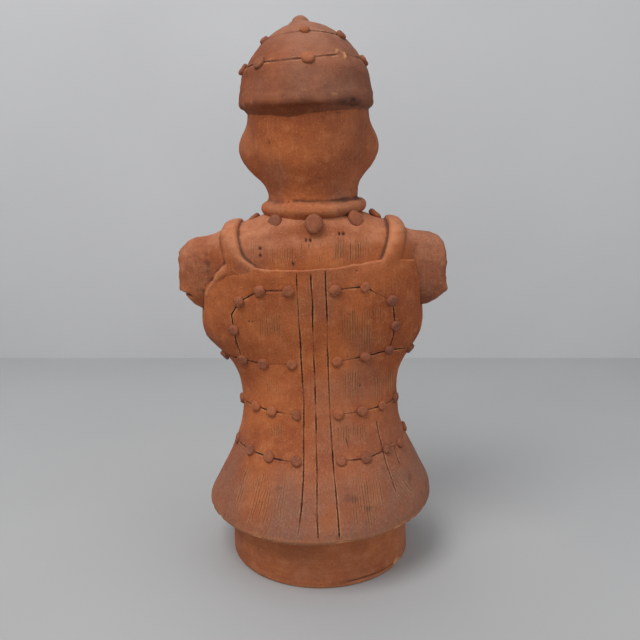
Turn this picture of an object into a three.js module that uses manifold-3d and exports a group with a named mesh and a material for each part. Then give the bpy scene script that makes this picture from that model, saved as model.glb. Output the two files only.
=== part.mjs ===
// Haniwa figure: a hollow, low-fired clay warrior cut off at the hips, on a round foot.
// It is one piece of clay, built up as a tapering tube. A riveted cuirass, shoulder straps, a riveted
// helmet, a bead necklace and two short broken arms are all part of that one body.
// Units are millimetres. +Z is up, the figure faces -Y, and its own left hand is on +X.
import * as THREE from 'three';
import { mergeVertices } from 'three/addons/utils/BufferGeometryUtils.js';
import Module from 'manifold-3d';

// ---- Driving dimensions -------------------------------------------------------------------------
const TOP_OF_KNOB = 460;
const LEAN = 0.0265; // the figure was set on its foot leaning this much towards its left
const LEAN_STARTS_ABOVE = 40; // the foot itself stands level up to here
const WALL = 10; // thickness of the clay tube

const FOOT_RADIUS = 80;
const FOOT_NECK_RADIUS = 78;
const HEM_HEIGHT = 50;
const PLATE_TOP = 265; // top edge of the cuirass, front and back
const NECK_ROOT = 304;
const HEAD_TOP = 390;
const RIM_HEIGHT = 385;
const CROWN_TOP = 457.5;

const STUD_RADIUS = 4.4;
const STUD_RISE = 3.2;
const FIRST_STUD = 18.6; // from the middle line to the first stud of each row
const STUD_SPACING = 22.5;

const NECKLACE = { height: 308, middle: -2.5, across: 40.5, deep: 40, roll: 5.6 };
const PENDANTS = 8;
// The pendants lie on the shoulders, so those at the sides are tilted further back, in degrees.
const PENDANT = {
  wide: 13.5, long: 16.5, thick: 6, height: 299.5,
  outAside: 7, outBehind: 5.5, tiltAside: 52, tiltBehind: 12,
};
// A strap is fixed under each plate, bends over the shoulder's edge and runs flat across its top.
const STRAP = {
  wide: 18,
  thick: 9,
  apart: 64, // from the middle to a strap's ends
  splay: 6, // how much further out it runs on top
  footHeight: PLATE_TOP - 8,
  bendHeight: PLATE_TOP + 12,
  topHeight: 291.5,
  back: { foot: 46.5, bend: 42, top: 24 },
  front: { foot: -52, bend: -46, top: -26 },
};
const ARM = { root: 66, end: 115.5, height: 259, tall: 29.5, deep: 23 };
// An arm's outline: [share of its thickness, share of its length]. It rounds over to the broken end.
const ARM_OUTLINE = [[0, 0], [0.9, 0], [1, 0.4], [0.99, 0.8], [0.86, 0.93], [0.6, 1], [0, 0.97]];
const ARM_BREAK = { from: 0.9, chips: 3, depth: 2.2 };
const EAR = { height: 361, out: 48.5, forward: -1, wide: 9.4, deep: 11, tall: 20 };
const KNOB = { radius: 8.5, aside: 3.5 };

// The face is calm and plain: a nose ridge that spreads into the brows, and almond slits.
const FACE_FRONT = -49;
const NOSE = {
  tip: 348, long: 26, wideBelow: 6.5, wideAbove: 3.2,
  proudBelow: 8, proudAbove: 3, rootDepth: 8, crest: 0.45,
};
const BROW = { height: 376.5, apart: 13, sunk: 2, turned: 0.25, wide: 27, tall: 6, thick: 9 };
const EYE = { height: 366, apart: 17.5, wide: 15, tall: 5.5 };
const MOUTH = { height: 337, wide: 20, tall: 4.5 };
const SLIT_DEPTH = 44; // goes through the wall into the hollow

// Fineness of the faceted surface
const ROUND_BODY = 34;
const ROUND_HEAD = 28;
const ROUND_CAVITY = 18;
const ROUND_NECKLACE = 24;
const ROUND_ARM = 16;
const ROUND_KNOB = 10;
const BODY_STEP = 13;
const HEAD_STEP = 20;
const SHOULDER_STEP = 30;

// ---- Girths: [height, to the left, to the right, to the back, to the front, squareness] -----------
// Squareness 2 is an ellipse, and more than 2 is boxier.
const CUIRASS = [
  [HEM_HEIGHT, 97, 100.5, 97, 97, 2],
  [54, 98, 101.5, 99, 99, 2],
  [64, 93.5, 99.5, 95, 95, 2],
  [84, 82, 90, 82, 84, 2.05],
  [104, 73, 80.5, 67, 72, 2.1],
  [124, 66.5, 74, 55, 61, 2.2],
  [145, 64.5, 72.5, 47, 56, 2.3],
  [163, 66.5, 73.5, 43.5, 56, 2.35],
  [184, 77, 82, 41, 60, 2.4],
  [205, 95, 94.5, 44, 65, 2.5],
  [235, 95.5, 95, 49, 64, 2.6],
  [PLATE_TOP, 91, 92, 51, 58, 2.6],
];
const SHOULDERS = [
  [235, 86, 86, 43, 54, 2.6],
  [PLATE_TOP, 88, 88, 46.5, 53, 2.6],
  [280, 87, 87, 45.5, 49, 2.6],
  [289, 80, 80, 44, 46, 2.5],
  [296, 64, 66, 42.5, 44, 2.2],
  [301, 48, 52, 41, 42, 2],
  [NECK_ROOT, 39, 44, 39, 39, 2],
];
const HEAD = [
  [296, 40, 44, 40, 40, 2],
  [310, 36, 40.5, 38.5, 38.5, 2],
  [321, 34.5, 39.5, 37, 37, 2],
  [335, 40.3, 42.3, 41, 42, 2],
  [350, 45, 46, 45, 47, 2],
  [375, 47.5, 47.5, 48, 50, 2],
  [HEAD_TOP, 47.5, 47.5, 48, 50, 2],
];
const HELMET = [
  [RIM_HEIGHT, 52, 51, 53, 53, 2],
  [393, 55.4, 54, 55, 55, 2],
  [401, 54.4, 53, 54, 54, 2],
  [411, 52.6, 51, 52, 52, 2],
  [418, 51, 49.5, 50.5, 50.5, 2],
  [424, 46.5, 46, 46.5, 46.5, 2],
  [434, 39.5, 39, 39.5, 39.5, 2],
  [443, 30, 30, 30, 30, 2],
  [451, 18, 18, 18, 18, 2],
  [CROWN_TOP, 4, 4, 4, 4, 2],
];

// Heights at which the hollow is drawn. Where the outside closes in, it is read this much higher up.
const HOLLOW_LEVELS = {
  cuirass: [84, 104, 124, 145, 163, 184, 205],
  shoulders: [[235, 0], [262, 3], [278, 8], [288, 8]],
  head: [300, 310, 321, 335, 350, 375],
  helmet: [[400, 6], [415, 6], [428, 6], [438, 6]],
  end: 444,
};

const wasm = await Module();
wasm.setup();

// ---- Geometry helpers -----------------------------------------------------------------------------

// The girth at any height, on a smooth curve through the stations.
function girthAt(stations, height) {
  const last = stations.length - 1;
  const clamped = THREE.MathUtils.clamp(height, stations[0][0], stations[last][0]);
  let i = 0;
  while (i < last - 1 && stations[i + 1][0] < clamped) i += 1;
  const [from, to] = [stations[i], stations[i + 1]];
  const before = stations[Math.max(i - 1, 0)];
  const after = stations[Math.min(i + 2, last)];
  const span = to[0] - from[0];
  const t = (clamped - from[0]) / span;
  return from.map((value, k) => {
    const slopeIn = (to[k] - before[k]) / (to[0] - before[0]);
    const slopeOut = (after[k] - value) / (after[0] - from[0]);
    return (2 * t ** 3 - 3 * t ** 2 + 1) * value + (t ** 3 - 2 * t ** 2 + t) * span * slopeIn
      + (3 * t ** 2 - 2 * t ** 3) * to[k] + (t ** 3 - t ** 2) * span * slopeOut;
  });
}

// A point of a girth. Angle 0 is the figure's left and a quarter turn is its back.
function pointOnGirth([height, left, right, back, front, squareness], angle, share = 1) {
  const [c, s] = [Math.cos(angle), Math.sin(angle)];
  const across = share * (c > 0 ? left : right) * Math.sign(c) * Math.abs(c) ** (2 / squareness);
  const deep = share * (s > 0 ? back : front) * Math.sign(s) * Math.abs(s) ** (2 / squareness);
  return new THREE.Vector3(across, deep, height);
}

// A closed skin: a unit lathe whose rings are then drawn out to the girths.
function skin(girths, around) {
  const profile = girths.map((girth, i) => new THREE.Vector2(1, i));
  profile.unshift(new THREE.Vector2(0, 0));
  profile.push(new THREE.Vector2(0, girths.length - 1));
  const lathe = new THREE.LatheGeometry(profile, around);
  const position = lathe.attributes.position;
  for (let v = 0; v < position.count; v += 1) {
    const girth = girths[Math.round(position.getY(v))];
    const angle = Math.atan2(position.getX(v), position.getZ(v));
    const share = Math.hypot(position.getX(v), position.getZ(v)) > 0.5 ? 1 : 0;
    const point = pointOnGirth(girth, angle, share);
    position.setXYZ(v, point.x, point.y, point.z);
  }
  return toSolid(lathe);
}

// The girths at every station of a part, with more between stations that are far apart.
function levels(stations, step = BODY_STEP) {
  const out = [];
  stations.slice(1).forEach((station, i) => {
    const from = stations[i][0];
    const steps = Math.max(1, Math.round((station[0] - from) / step));
    for (let k = 0; k < steps; k += 1) {
      out.push(girthAt(stations, from + ((station[0] - from) * k) / steps));
    }
  });
  out.push(stations[stations.length - 1]);
  return out;
}

function toSolid(geometry) {
  const bare = geometry.clone();
  bare.deleteAttribute('normal');
  bare.deleteAttribute('uv');
  const merged = mergeVertices(bare, 1e-3);
  const triangles = [];
  for (let i = 0; i < merged.index.count; i += 3) {
    const [a, b, c] = [0, 1, 2].map((k) => merged.index.getX(i + k));
    if (a !== b && b !== c && c !== a) triangles.push(a, b, c);
  }
  return new wasm.Manifold(new wasm.Mesh({
    numProp: 3,
    vertProperties: Float32Array.from(merged.attributes.position.array),
    triVerts: Uint32Array.from(triangles),
  }));
}

function toGeometry(solid) {
  const mesh = solid.getMesh();
  const geometry = new THREE.BufferGeometry();
  const points = new THREE.BufferAttribute(Float32Array.from(mesh.vertProperties), 3);
  geometry.setAttribute('position', points);
  geometry.setIndex(new THREE.BufferAttribute(Uint32Array.from(mesh.triVerts), 1));
  return geometry;
}

// An egg-shaped lump with its short axis along the given outward direction.
function lump(centre, outward, [wide, long, thick], around = 8, rings = 5) {
  const ball = new THREE.SphereGeometry(1, around, rings);
  const up = new THREE.Vector3(0, 0, 1);
  const sideways = new THREE.Vector3().crossVectors(up, outward).normalize();
  const along = new THREE.Vector3().crossVectors(outward, sideways);
  const turn = new THREE.Matrix4().makeBasis(sideways, outward.clone().negate(), along);
  ball.rotateX(Math.PI / 2);
  ball.scale(wide / 2, thick / 2, long / 2);
  ball.applyMatrix4(turn);
  ball.translate(centre.x, centre.y, centre.z);
  return toSolid(ball);
}

// The outward direction of a skin at an angle and a height.
function outwardAt(stations, angle, height) {
  const nudge = 0.5;
  const nudgeAngle = nudge / 60;
  const here = pointOnGirth(girthAt(stations, height), angle);
  const beside = pointOnGirth(girthAt(stations, height), angle + nudgeAngle).sub(here);
  const above = pointOnGirth(girthAt(stations, height + nudge), angle).sub(here);
  return beside.cross(above).normalize();
}

// ---- Studs ------------------------------------------------------------------------------------------

// The angle on a girth of a point this far across, on the back or on the front.
function angleFor(across, height, onBack) {
  const [, left, right, , , squareness] = girthAt(CUIRASS, height);
  const reach = across > 0 ? left : right;
  const c = Math.sign(across) * Math.min(1, Math.abs(across) / reach) ** (squareness / 2);
  return onBack ? Math.acos(c) : -Math.acos(c);
}

function stud(stations, angle, height) {
  const centre = pointOnGirth(girthAt(stations, height), angle);
  const size = [2 * STUD_RADIUS, 2 * STUD_RADIUS, 2 * STUD_RISE];
  return lump(centre, outwardAt(stations, angle, height), size, 6, 3);
}

// The cuirass studs of one side and one face, as [distance from the middle line, height].
// The top row turns down at its outer end and joins the second row. The front has three to a row.
function studPlaces(onBack) {
  const at = (n) => FIRST_STUD + n * STUD_SPACING;
  const rows = [
    [[at(0), 247], [at(1), 247.5], [at(2) - 2, 237], [at(2) + 2.5, 213]],
    [[at(0), 184], [at(1), 185.5], [at(2) - 2, 187.5], [at(3) - 9, 188]],
    [[at(0), 141.5], [at(1) - 2.5, 142.5], [at(2) - 9, 143.5], [at(2) + 1, 145]],
    [[at(0) - 1, 107], [at(1) - 1, 107.5], [at(2) - 6, 108.5], [at(2) + 6, 108]],
  ];
  return rows.flatMap((row) => (onBack ? row : row.slice(0, 3)));
}

function cuirassStuds() {
  const studs = [];
  for (const side of [1, -1]) {
    for (const onBack of [true, false]) {
      for (const [across, height] of studPlaces(onBack)) {
        studs.push(stud(CUIRASS, angleFor(side * across, height, onBack), height));
      }
    }
  }
  return studs;
}

function helmetStuds() {
  const lowerRow = { height: 421, count: 8, first: 8, missing: 3 };
  const upperRow = { height: 443, count: 6, first: 30, missing: -1 };
  const studs = [];
  for (const row of [lowerRow, upperRow]) {
    for (let n = 0; n < row.count; n += 1) {
      const angle = THREE.MathUtils.degToRad(row.first + (360 * n) / row.count);
      if (n !== row.missing) studs.push(stud(HELMET, angle, row.height));
    }
  }
  return studs;
}

// ---- Necklace, straps, arms, head --------------------------------------------------------------------

function necklace() {
  const ring = new THREE.TorusGeometry(NECKLACE.across, NECKLACE.roll, 6, ROUND_NECKLACE);
  ring.scale(1, NECKLACE.deep / NECKLACE.across, 1);
  ring.translate(NECKLACE.middle, 0, NECKLACE.height);
  const pieces = [toSolid(ring)];
  for (let n = 0; n < PENDANTS; n += 1) {
    const angle = Math.PI / 2 + (2 * Math.PI * n) / PENDANTS;
    const tilt = THREE.MathUtils.lerp(PENDANT.tiltAside, PENDANT.tiltBehind, Math.abs(Math.sin(angle)));
    const rise = THREE.MathUtils.degToRad(tilt);
    const outward = new THREE.Vector3(
      Math.cos(angle) * Math.cos(rise), Math.sin(angle) * Math.cos(rise), Math.sin(rise),
    );
    const centre = new THREE.Vector3(
      NECKLACE.middle + (NECKLACE.across + PENDANT.outAside) * Math.cos(angle),
      (NECKLACE.deep + PENDANT.outBehind) * Math.sin(angle),
      PENDANT.height,
    );
    pieces.push(lump(centre, outward, [PENDANT.wide, PENDANT.long, PENDANT.thick], 8, 4));
  }
  return pieces;
}

// A flat clay band from the top of the back plate, over the shoulder, to the top of the front plate.
function strap(side) {
  const foot = NECKLACE.middle / 2 + side * STRAP.apart;
  const bend = foot + side;
  const top = foot + side * STRAP.splay;
  const { back, front, footHeight, bendHeight, topHeight } = STRAP;
  const path = new THREE.CatmullRomCurve3([
    new THREE.Vector3(foot, back.foot, footHeight),
    new THREE.Vector3(bend, back.bend, bendHeight),
    new THREE.Vector3(top, back.top, topHeight),
    new THREE.Vector3(top, 0, topHeight + 2),
    new THREE.Vector3(top, front.top, topHeight - 1),
    new THREE.Vector3(bend, front.bend, bendHeight),
    new THREE.Vector3(foot, front.foot, footHeight),
  ]);
  const section = new THREE.Shape();
  section.absellipse(0, 0, STRAP.wide / 2, STRAP.thick / 2, 0, 2 * Math.PI);
  const band = new THREE.ExtrudeGeometry(section, { steps: 14, curveSegments: 3, extrudePath: path });
  return toSolid(band);
}

// A short arm, turned about the X axis, with an uneven broken end.
function arm(side) {
  const length = ARM.end - ARM.root;
  const outline = ARM_OUTLINE.map(([share, along]) => new THREE.Vector2(share, along * length));
  const stump = new THREE.LatheGeometry(outline, ROUND_ARM);
  const position = stump.attributes.position;
  for (let v = 0; v < position.count; v += 1) {
    const [tall, along, deep] = [position.getX(v), position.getY(v), position.getZ(v)];
    const angle = Math.atan2(deep, tall);
    const atBreak = along > ARM_BREAK.from * length;
    const chipped = atBreak ? Math.abs(ARM_BREAK.depth * Math.sin(ARM_BREAK.chips * angle + side)) : 0;
    const across = side * (ARM.root + along - chipped);
    position.setXYZ(v, across, deep * ARM.deep, ARM.height + tall * ARM.tall);
  }
  if (side > 0) return toSolid(stump);
  const flipped = stump.index.array;
  for (let i = 0; i < flipped.length; i += 3) {
    [flipped[i], flipped[i + 1]] = [flipped[i + 1], flipped[i]];
  }
  return toSolid(stump);
}

function ears() {
  return [1, -1].map((side) => {
    const centre = new THREE.Vector3(side * EAR.out, EAR.forward, EAR.height);
    const size = [2 * EAR.deep, 2 * EAR.tall, 2 * EAR.wide];
    return lump(centre, new THREE.Vector3(side, 0, 0), size, 10, 5);
  });
}

function nose() {
  const outline = new THREE.Shape();
  outline.moveTo(-NOSE.wideAbove, NOSE.long);
  outline.lineTo(-NOSE.wideBelow, 0);
  outline.lineTo(NOSE.wideBelow, 0);
  outline.lineTo(NOSE.wideAbove, NOSE.long);
  const ridge = new THREE.ExtrudeGeometry(outline, { depth: 2, bevelEnabled: false });
  const position = ridge.attributes.position;
  for (let v = 0; v < position.count; v += 1) {
    const [across, up, out] = [position.getX(v), position.getY(v), position.getZ(v)];
    const crest = out > 1;
    const taper = crest ? NOSE.crest : 1;
    const proud = THREE.MathUtils.lerp(NOSE.proudBelow, NOSE.proudAbove, up / NOSE.long);
    const forward = crest ? proud : -NOSE.rootDepth;
    position.setXYZ(v, across * taper, FACE_FRONT - forward, NOSE.tip + up);
  }
  return toSolid(ridge);
}

function brow() {
  return [1, -1].map((side) => {
    const centre = new THREE.Vector3(side * BROW.apart, FACE_FRONT + BROW.sunk, BROW.height);
    const outward = new THREE.Vector3(side * BROW.turned, -1, 0).normalize();
    return lump(centre, outward, [BROW.wide, BROW.tall, BROW.thick], 8, 5);
  });
}

function faceSlits() {
  const front = new THREE.Vector3(0, -1, 0);
  const slit = (x, { height, wide, tall }) => {
    const centre = new THREE.Vector3(x, FACE_FRONT, height);
    return lump(centre, front, [wide, tall, SLIT_DEPTH], 8, 4);
  };
  return [slit(EYE.apart, EYE), slit(-EYE.apart, EYE), slit(0, MOUTH)];
}

// ---- The hollow ----------------------------------------------------------------------------------------

// The inside follows the outside, one wall thickness in. Under a surface that slopes, the wall is
// kept by reading the outside a little higher up.
function hollow() {
  const thinned = (stations, height, lift = 0) => {
    const [, left, right, back, front] = girthAt(stations, height + lift);
    return [height, left - WALL, right - WALL, back - WALL, front - WALL, 2];
  };
  const round = (height, radius) => [height, radius, radius, radius, radius, 2];
  const bore = FOOT_RADIUS - WALL;
  const girths = [
    round(-WALL, bore),
    round(HEM_HEIGHT - 6, bore - 1),
    ...HOLLOW_LEVELS.cuirass.map((height) => thinned(CUIRASS, height)),
    ...HOLLOW_LEVELS.shoulders.map(([height, lift]) => thinned(SHOULDERS, height, lift)),
    ...HOLLOW_LEVELS.head.map((height) => thinned(HEAD, height)),
    ...HOLLOW_LEVELS.helmet.map(([height, lift]) => thinned(HELMET, height, lift)),
    round(HOLLOW_LEVELS.end, 4),
  ];
  return skin(girths, ROUND_CAVITY);
}

// ---- Assembly --------------------------------------------------------------------------------------------

function figureSolid() {
  const foot = [
    [0, FOOT_RADIUS, FOOT_RADIUS, FOOT_RADIUS, FOOT_RADIUS, 2],
    [HEM_HEIGHT + 8, FOOT_NECK_RADIUS, FOOT_NECK_RADIUS, FOOT_NECK_RADIUS, FOOT_NECK_RADIUS, 2],
  ];
  const knob = new THREE.SphereGeometry(KNOB.radius, ROUND_KNOB, 6);
  knob.rotateX(Math.PI / 2);
  knob.translate(KNOB.aside, 0, TOP_OF_KNOB - KNOB.radius);
  const added = [
    skin(foot, ROUND_BODY),
    skin(levels(SHOULDERS, SHOULDER_STEP), ROUND_HEAD),
    skin(levels(HEAD, HEAD_STEP), ROUND_HEAD),
    skin(levels(HELMET, HEAD_STEP), ROUND_HEAD),
    toSolid(knob),
    ...necklace(),
    strap(1),
    strap(-1),
    arm(1),
    arm(-1),
    ...ears(),
    nose(),
    ...brow(),
    ...cuirassStuds(),
    ...helmetStuds(),
  ];
  const outside = added.reduce((whole, piece) => whole.add(piece), skin(levels(CUIRASS), ROUND_BODY));
  return [hollow(), ...faceSlits()].reduce((whole, space) => whole.subtract(space), outside);
}

// Leans the figure over to its left. The underside of the foot stays flat.
function leanOver(geometry) {
  const position = geometry.attributes.position;
  for (let v = 0; v < position.count; v += 1) {
    const [x, z] = [position.getX(v), position.getZ(v)];
    const given = THREE.MathUtils.smoothstep(z, 0, LEAN_STARTS_ABOVE);
    position.setX(v, x + LEAN * z);
    position.setZ(v, z - LEAN * x * given);
  }
}

// Puts the origin on the ground, under the middle of the figure's own box.
function centreOnGround(geometry) {
  geometry.computeBoundingBox();
  const middle = geometry.boundingBox.getCenter(new THREE.Vector3());
  geometry.translate(-middle.x, -middle.y, -geometry.boundingBox.min.z);
}

const clay = new THREE.MeshStandardMaterial({ color: 0x8a5232, roughness: 0.9, metalness: 0 });
const body = toGeometry(figureSolid());
leanOver(body);
centreOnGround(body);
body.computeVertexNormals();

const figure = new THREE.Mesh(body, clay);
figure.name = 'haniwa_figure';

const group = new THREE.Group();
group.add(figure);
export default group;
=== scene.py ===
import math

import bpy
import numpy as np
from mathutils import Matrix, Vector


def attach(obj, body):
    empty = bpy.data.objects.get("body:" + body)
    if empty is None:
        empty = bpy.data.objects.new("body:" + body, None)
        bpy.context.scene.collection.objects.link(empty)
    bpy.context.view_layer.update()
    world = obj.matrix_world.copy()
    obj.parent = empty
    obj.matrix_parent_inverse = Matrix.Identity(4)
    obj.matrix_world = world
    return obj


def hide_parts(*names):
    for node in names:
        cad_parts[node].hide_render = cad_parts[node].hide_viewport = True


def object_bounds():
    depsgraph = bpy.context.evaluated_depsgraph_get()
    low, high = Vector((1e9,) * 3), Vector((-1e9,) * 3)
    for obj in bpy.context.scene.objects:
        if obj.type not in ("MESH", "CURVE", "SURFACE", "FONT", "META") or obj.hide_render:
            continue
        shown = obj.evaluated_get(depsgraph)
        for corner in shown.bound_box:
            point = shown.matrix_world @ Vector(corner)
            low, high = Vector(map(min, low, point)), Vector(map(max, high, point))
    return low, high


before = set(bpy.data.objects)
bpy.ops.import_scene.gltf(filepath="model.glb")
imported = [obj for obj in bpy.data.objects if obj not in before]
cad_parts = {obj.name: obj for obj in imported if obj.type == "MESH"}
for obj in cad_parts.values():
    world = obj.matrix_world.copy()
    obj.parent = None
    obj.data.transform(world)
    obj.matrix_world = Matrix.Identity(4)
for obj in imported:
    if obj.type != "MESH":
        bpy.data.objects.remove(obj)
cad_low, cad_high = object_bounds()

# ---- The foot -----------------------------------------------------------------------------------
# A plain round ring of coarse clay that the whole figure stands on, open underneath.
# It was coiled, smoothed round and round with a wet hand, and trimmed flat where it meets the table.

MM = 0.001
LEAN = 0.0265  # the figure was set on its foot leaning this much towards its left
LEVEL_UP_TO = 40  # the foot itself stands level, up to this height in mm
WALL = 10

corners = np.array([v.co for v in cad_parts["haniwa_figure"].data.vertices])
ground = corners[corners[:, 2] < MM]
foot_middle = (ground[:, 0].min() + ground[:, 0].max()) / 2


def smooth(low, high, value):
    """0 below low, 1 above high, and a soft step between them."""
    share = np.clip((value - low) / (high - low), 0, 1)
    return share * share * (3 - 2 * share)


def place(points):
    """Takes points in mm on the upright figure to metres in the frame, leaning as it does."""
    x, y, z = points.T
    leaning = np.stack([x + LEAN * z, y, z - LEAN * x * smooth(0, LEVEL_UP_TO, z)], 1)
    return leaning * MM + [foot_middle, 0, 0]


def lumps(points, size, seed):
    """Soft lumps from -1 to 1, this many mm across: one value for each point."""
    spot = points / size + 31.7 * seed
    cell = np.floor(spot).astype(np.int64)
    near = spot - cell
    near = near * near * (3 - 2 * near)
    total = np.zeros(len(points))
    for corner in range(8):
        step = np.array([corner & 1, corner >> 1 & 1, corner >> 2 & 1])
        key = ((cell + step) * [73856093, 19349663, 83492791]).astype(np.int64)
        key = key[:, 0] ^ key[:, 1] ^ key[:, 2] ^ (seed * 2654435761)
        key = ((key ^ (key >> 13)) * 1274126177) & 0x7FFFFFFF
        value = ((key >> 7) % 65536) / 32767.5 - 1
        total += value * np.prod(np.where(step == 1, near, 1 - near), axis=1)
    return total


def worked(points, *layers):
    """How a hand left the skin, in mm: lumps given as (height, size across, seed), added up."""
    return sum(height * lumps(points, size, seed) for height, size, seed in layers)


def bump(off, width):
    """1 where off is 0, fading softly to both sides."""
    return np.exp(-(off / width) ** 2)


def round_axis(reach, turned, z):
    """Points at this distance from the axis, in this direction, at this height."""
    return np.stack([reach * np.cos(turned), reach * np.sin(turned), z], -1)


def ring_faces(rows, columns):
    """Four-sided faces of a grid that closes on itself both ways."""
    i, j = np.meshgrid(np.arange(rows), np.arange(columns), indexing="ij")
    up, along = (i + 1) % rows, (j + 1) % columns
    corners_of = [i * columns + j, i * columns + along, up * columns + along, up * columns + j]
    return np.stack(corners_of, -1).reshape(-1, 4)


def neighbour_sum(values, faces, count):
    """For each point, the sum of a value over the faces round it."""
    total = np.zeros((count, 3))
    for k in range(4):
        for axis in range(3):
            total[:, axis] += np.bincount(faces[:, k], values[k][:, axis], count)
    return total


def outward(points, faces):
    """The direction that the skin faces at each point."""
    a, b, c, d = (points[faces[:, k]] for k in range(4))
    across = np.cross(c - a, d - b)
    total = neighbour_sum([across] * 4, faces, len(points))
    return total / np.maximum(np.linalg.norm(total, axis=1, keepdims=True), 1e-9)


def standing_out(points, faces, passes=8):
    """How far each point stands out of the smoothed skin, in mm. Creases are below 0."""
    count = np.maximum(np.bincount(faces.ravel(), minlength=len(points)), 1)[:, None]
    soft = points
    for _ in range(passes):
        corner = [soft[faces[:, k]] for k in range(4)]
        middle = (corner[0] + corner[1] + corner[2] + corner[3]) / 4
        soft = neighbour_sum([middle] * 4, faces, len(points)) / count
    return ((points - soft) * outward(points, faces)).sum(1)


# What a clay skin carries at each point: how strong a cut line is and how many mm to which side of
# the point it runs, how strong the comb's strokes are, their count across and share along, how far
# the finish runs round instead of up, its dust with painted light on faces turned up, chips, smoke
# clouds with painted shade and sheen, soot with painted shadow, and how far it stands out, which
# draws raised edges paler with wear and creases darker. A piece also says how much wear shows
# ("wear"), how much dust and painted top light show, and what dust lies everywhere, with a painted
# sheen on the helmet.
MARKS = ("cut", "beside", "comb", "tooth", "stroke", "round", "dust_and_light", "chip", "smoke_and_light", "soot_and_shade", "stands_out")


def placed_object(name, mesh):
    """A new object in the scene, at its origin, unturned and unscaled."""
    made = bpy.data.objects.new(name, mesh)
    bpy.context.scene.collection.objects.link(made)
    return made


def clay_piece(name, points, faces, marks, clay):
    """A closed, smooth mesh, with one number per point for each kind of mark on it."""
    # Raised edges are later drawn paler with wear, and creases darker.
    marks["stands_out"] = standing_out(points, faces) * marks.get("wear", 1.0)
    # Faces turned up get paler dust, which also paints the light from above; on the helmet the haze adds a
    # painted sheen.
    marks["dust_and_light"] = smooth(0.0, 0.75, outward(points, faces)[:, 2]) * marks.get("top_dust_and_light", 0.6)
    marks["dust_and_light"] = np.clip(marks["dust_and_light"] + marks.get("haze_and_sheen", 0.0), 0, 1)
    mesh = bpy.data.meshes.new(name)
    mesh.vertices.add(len(points))
    mesh.vertices.foreach_set("co", place(points).astype(np.float32).ravel())
    mesh.loops.add(faces.size)
    mesh.loops.foreach_set("vertex_index", faces.ravel().astype(np.int32))
    mesh.polygons.add(len(faces))
    mesh.polygons.foreach_set("loop_start", np.arange(0, faces.size, 4, dtype=np.int32))
    mesh.update(calc_edges=True)
    mesh.validate()
    mesh.shade_smooth()
    for mark in MARKS:
        values = np.broadcast_to(marks.get(mark, 0.0), len(points)).astype(np.float32)
        mesh.attributes.new(mark, "FLOAT", "POINT").data.foreach_set("value", values)
    mesh.materials.append(clay)
    return placed_object(name, mesh)


def fired_with_figure(piece):
    """Every piece is clay of the one fired figure."""
    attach(piece, "root")
    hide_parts("haniwa_figure")


def linear(hex_colour):
    """An sRGB hex colour as linear red, green, blue and alpha."""
    parts = [int(hex_colour[k:k + 2], 16) / 255 for k in (1, 3, 5)]
    return [p / 12.92 if p <= 0.04045 else ((p + 0.055) / 1.055) ** 2.4 for p in parts] + [1]


def add(tree, kind, inputs=(), **settings):
    """Adds a node, sets its properties, and sets or links its inputs by name or number."""
    made = tree.nodes.new(kind)
    for key, value in settings.items():
        setattr(made, key, value)
    for key, value in dict(inputs).items():
        if isinstance(value, bpy.types.NodeSocket):
            tree.links.new(value, made.inputs[key])
        else:
            made.inputs[key].default_value = value
    return made


def blank_material(name):
    """A new material whose node tree is still empty."""
    material = bpy.data.materials.new(name)
    material.use_nodes = True
    material.node_tree.nodes.clear()
    return material


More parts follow.
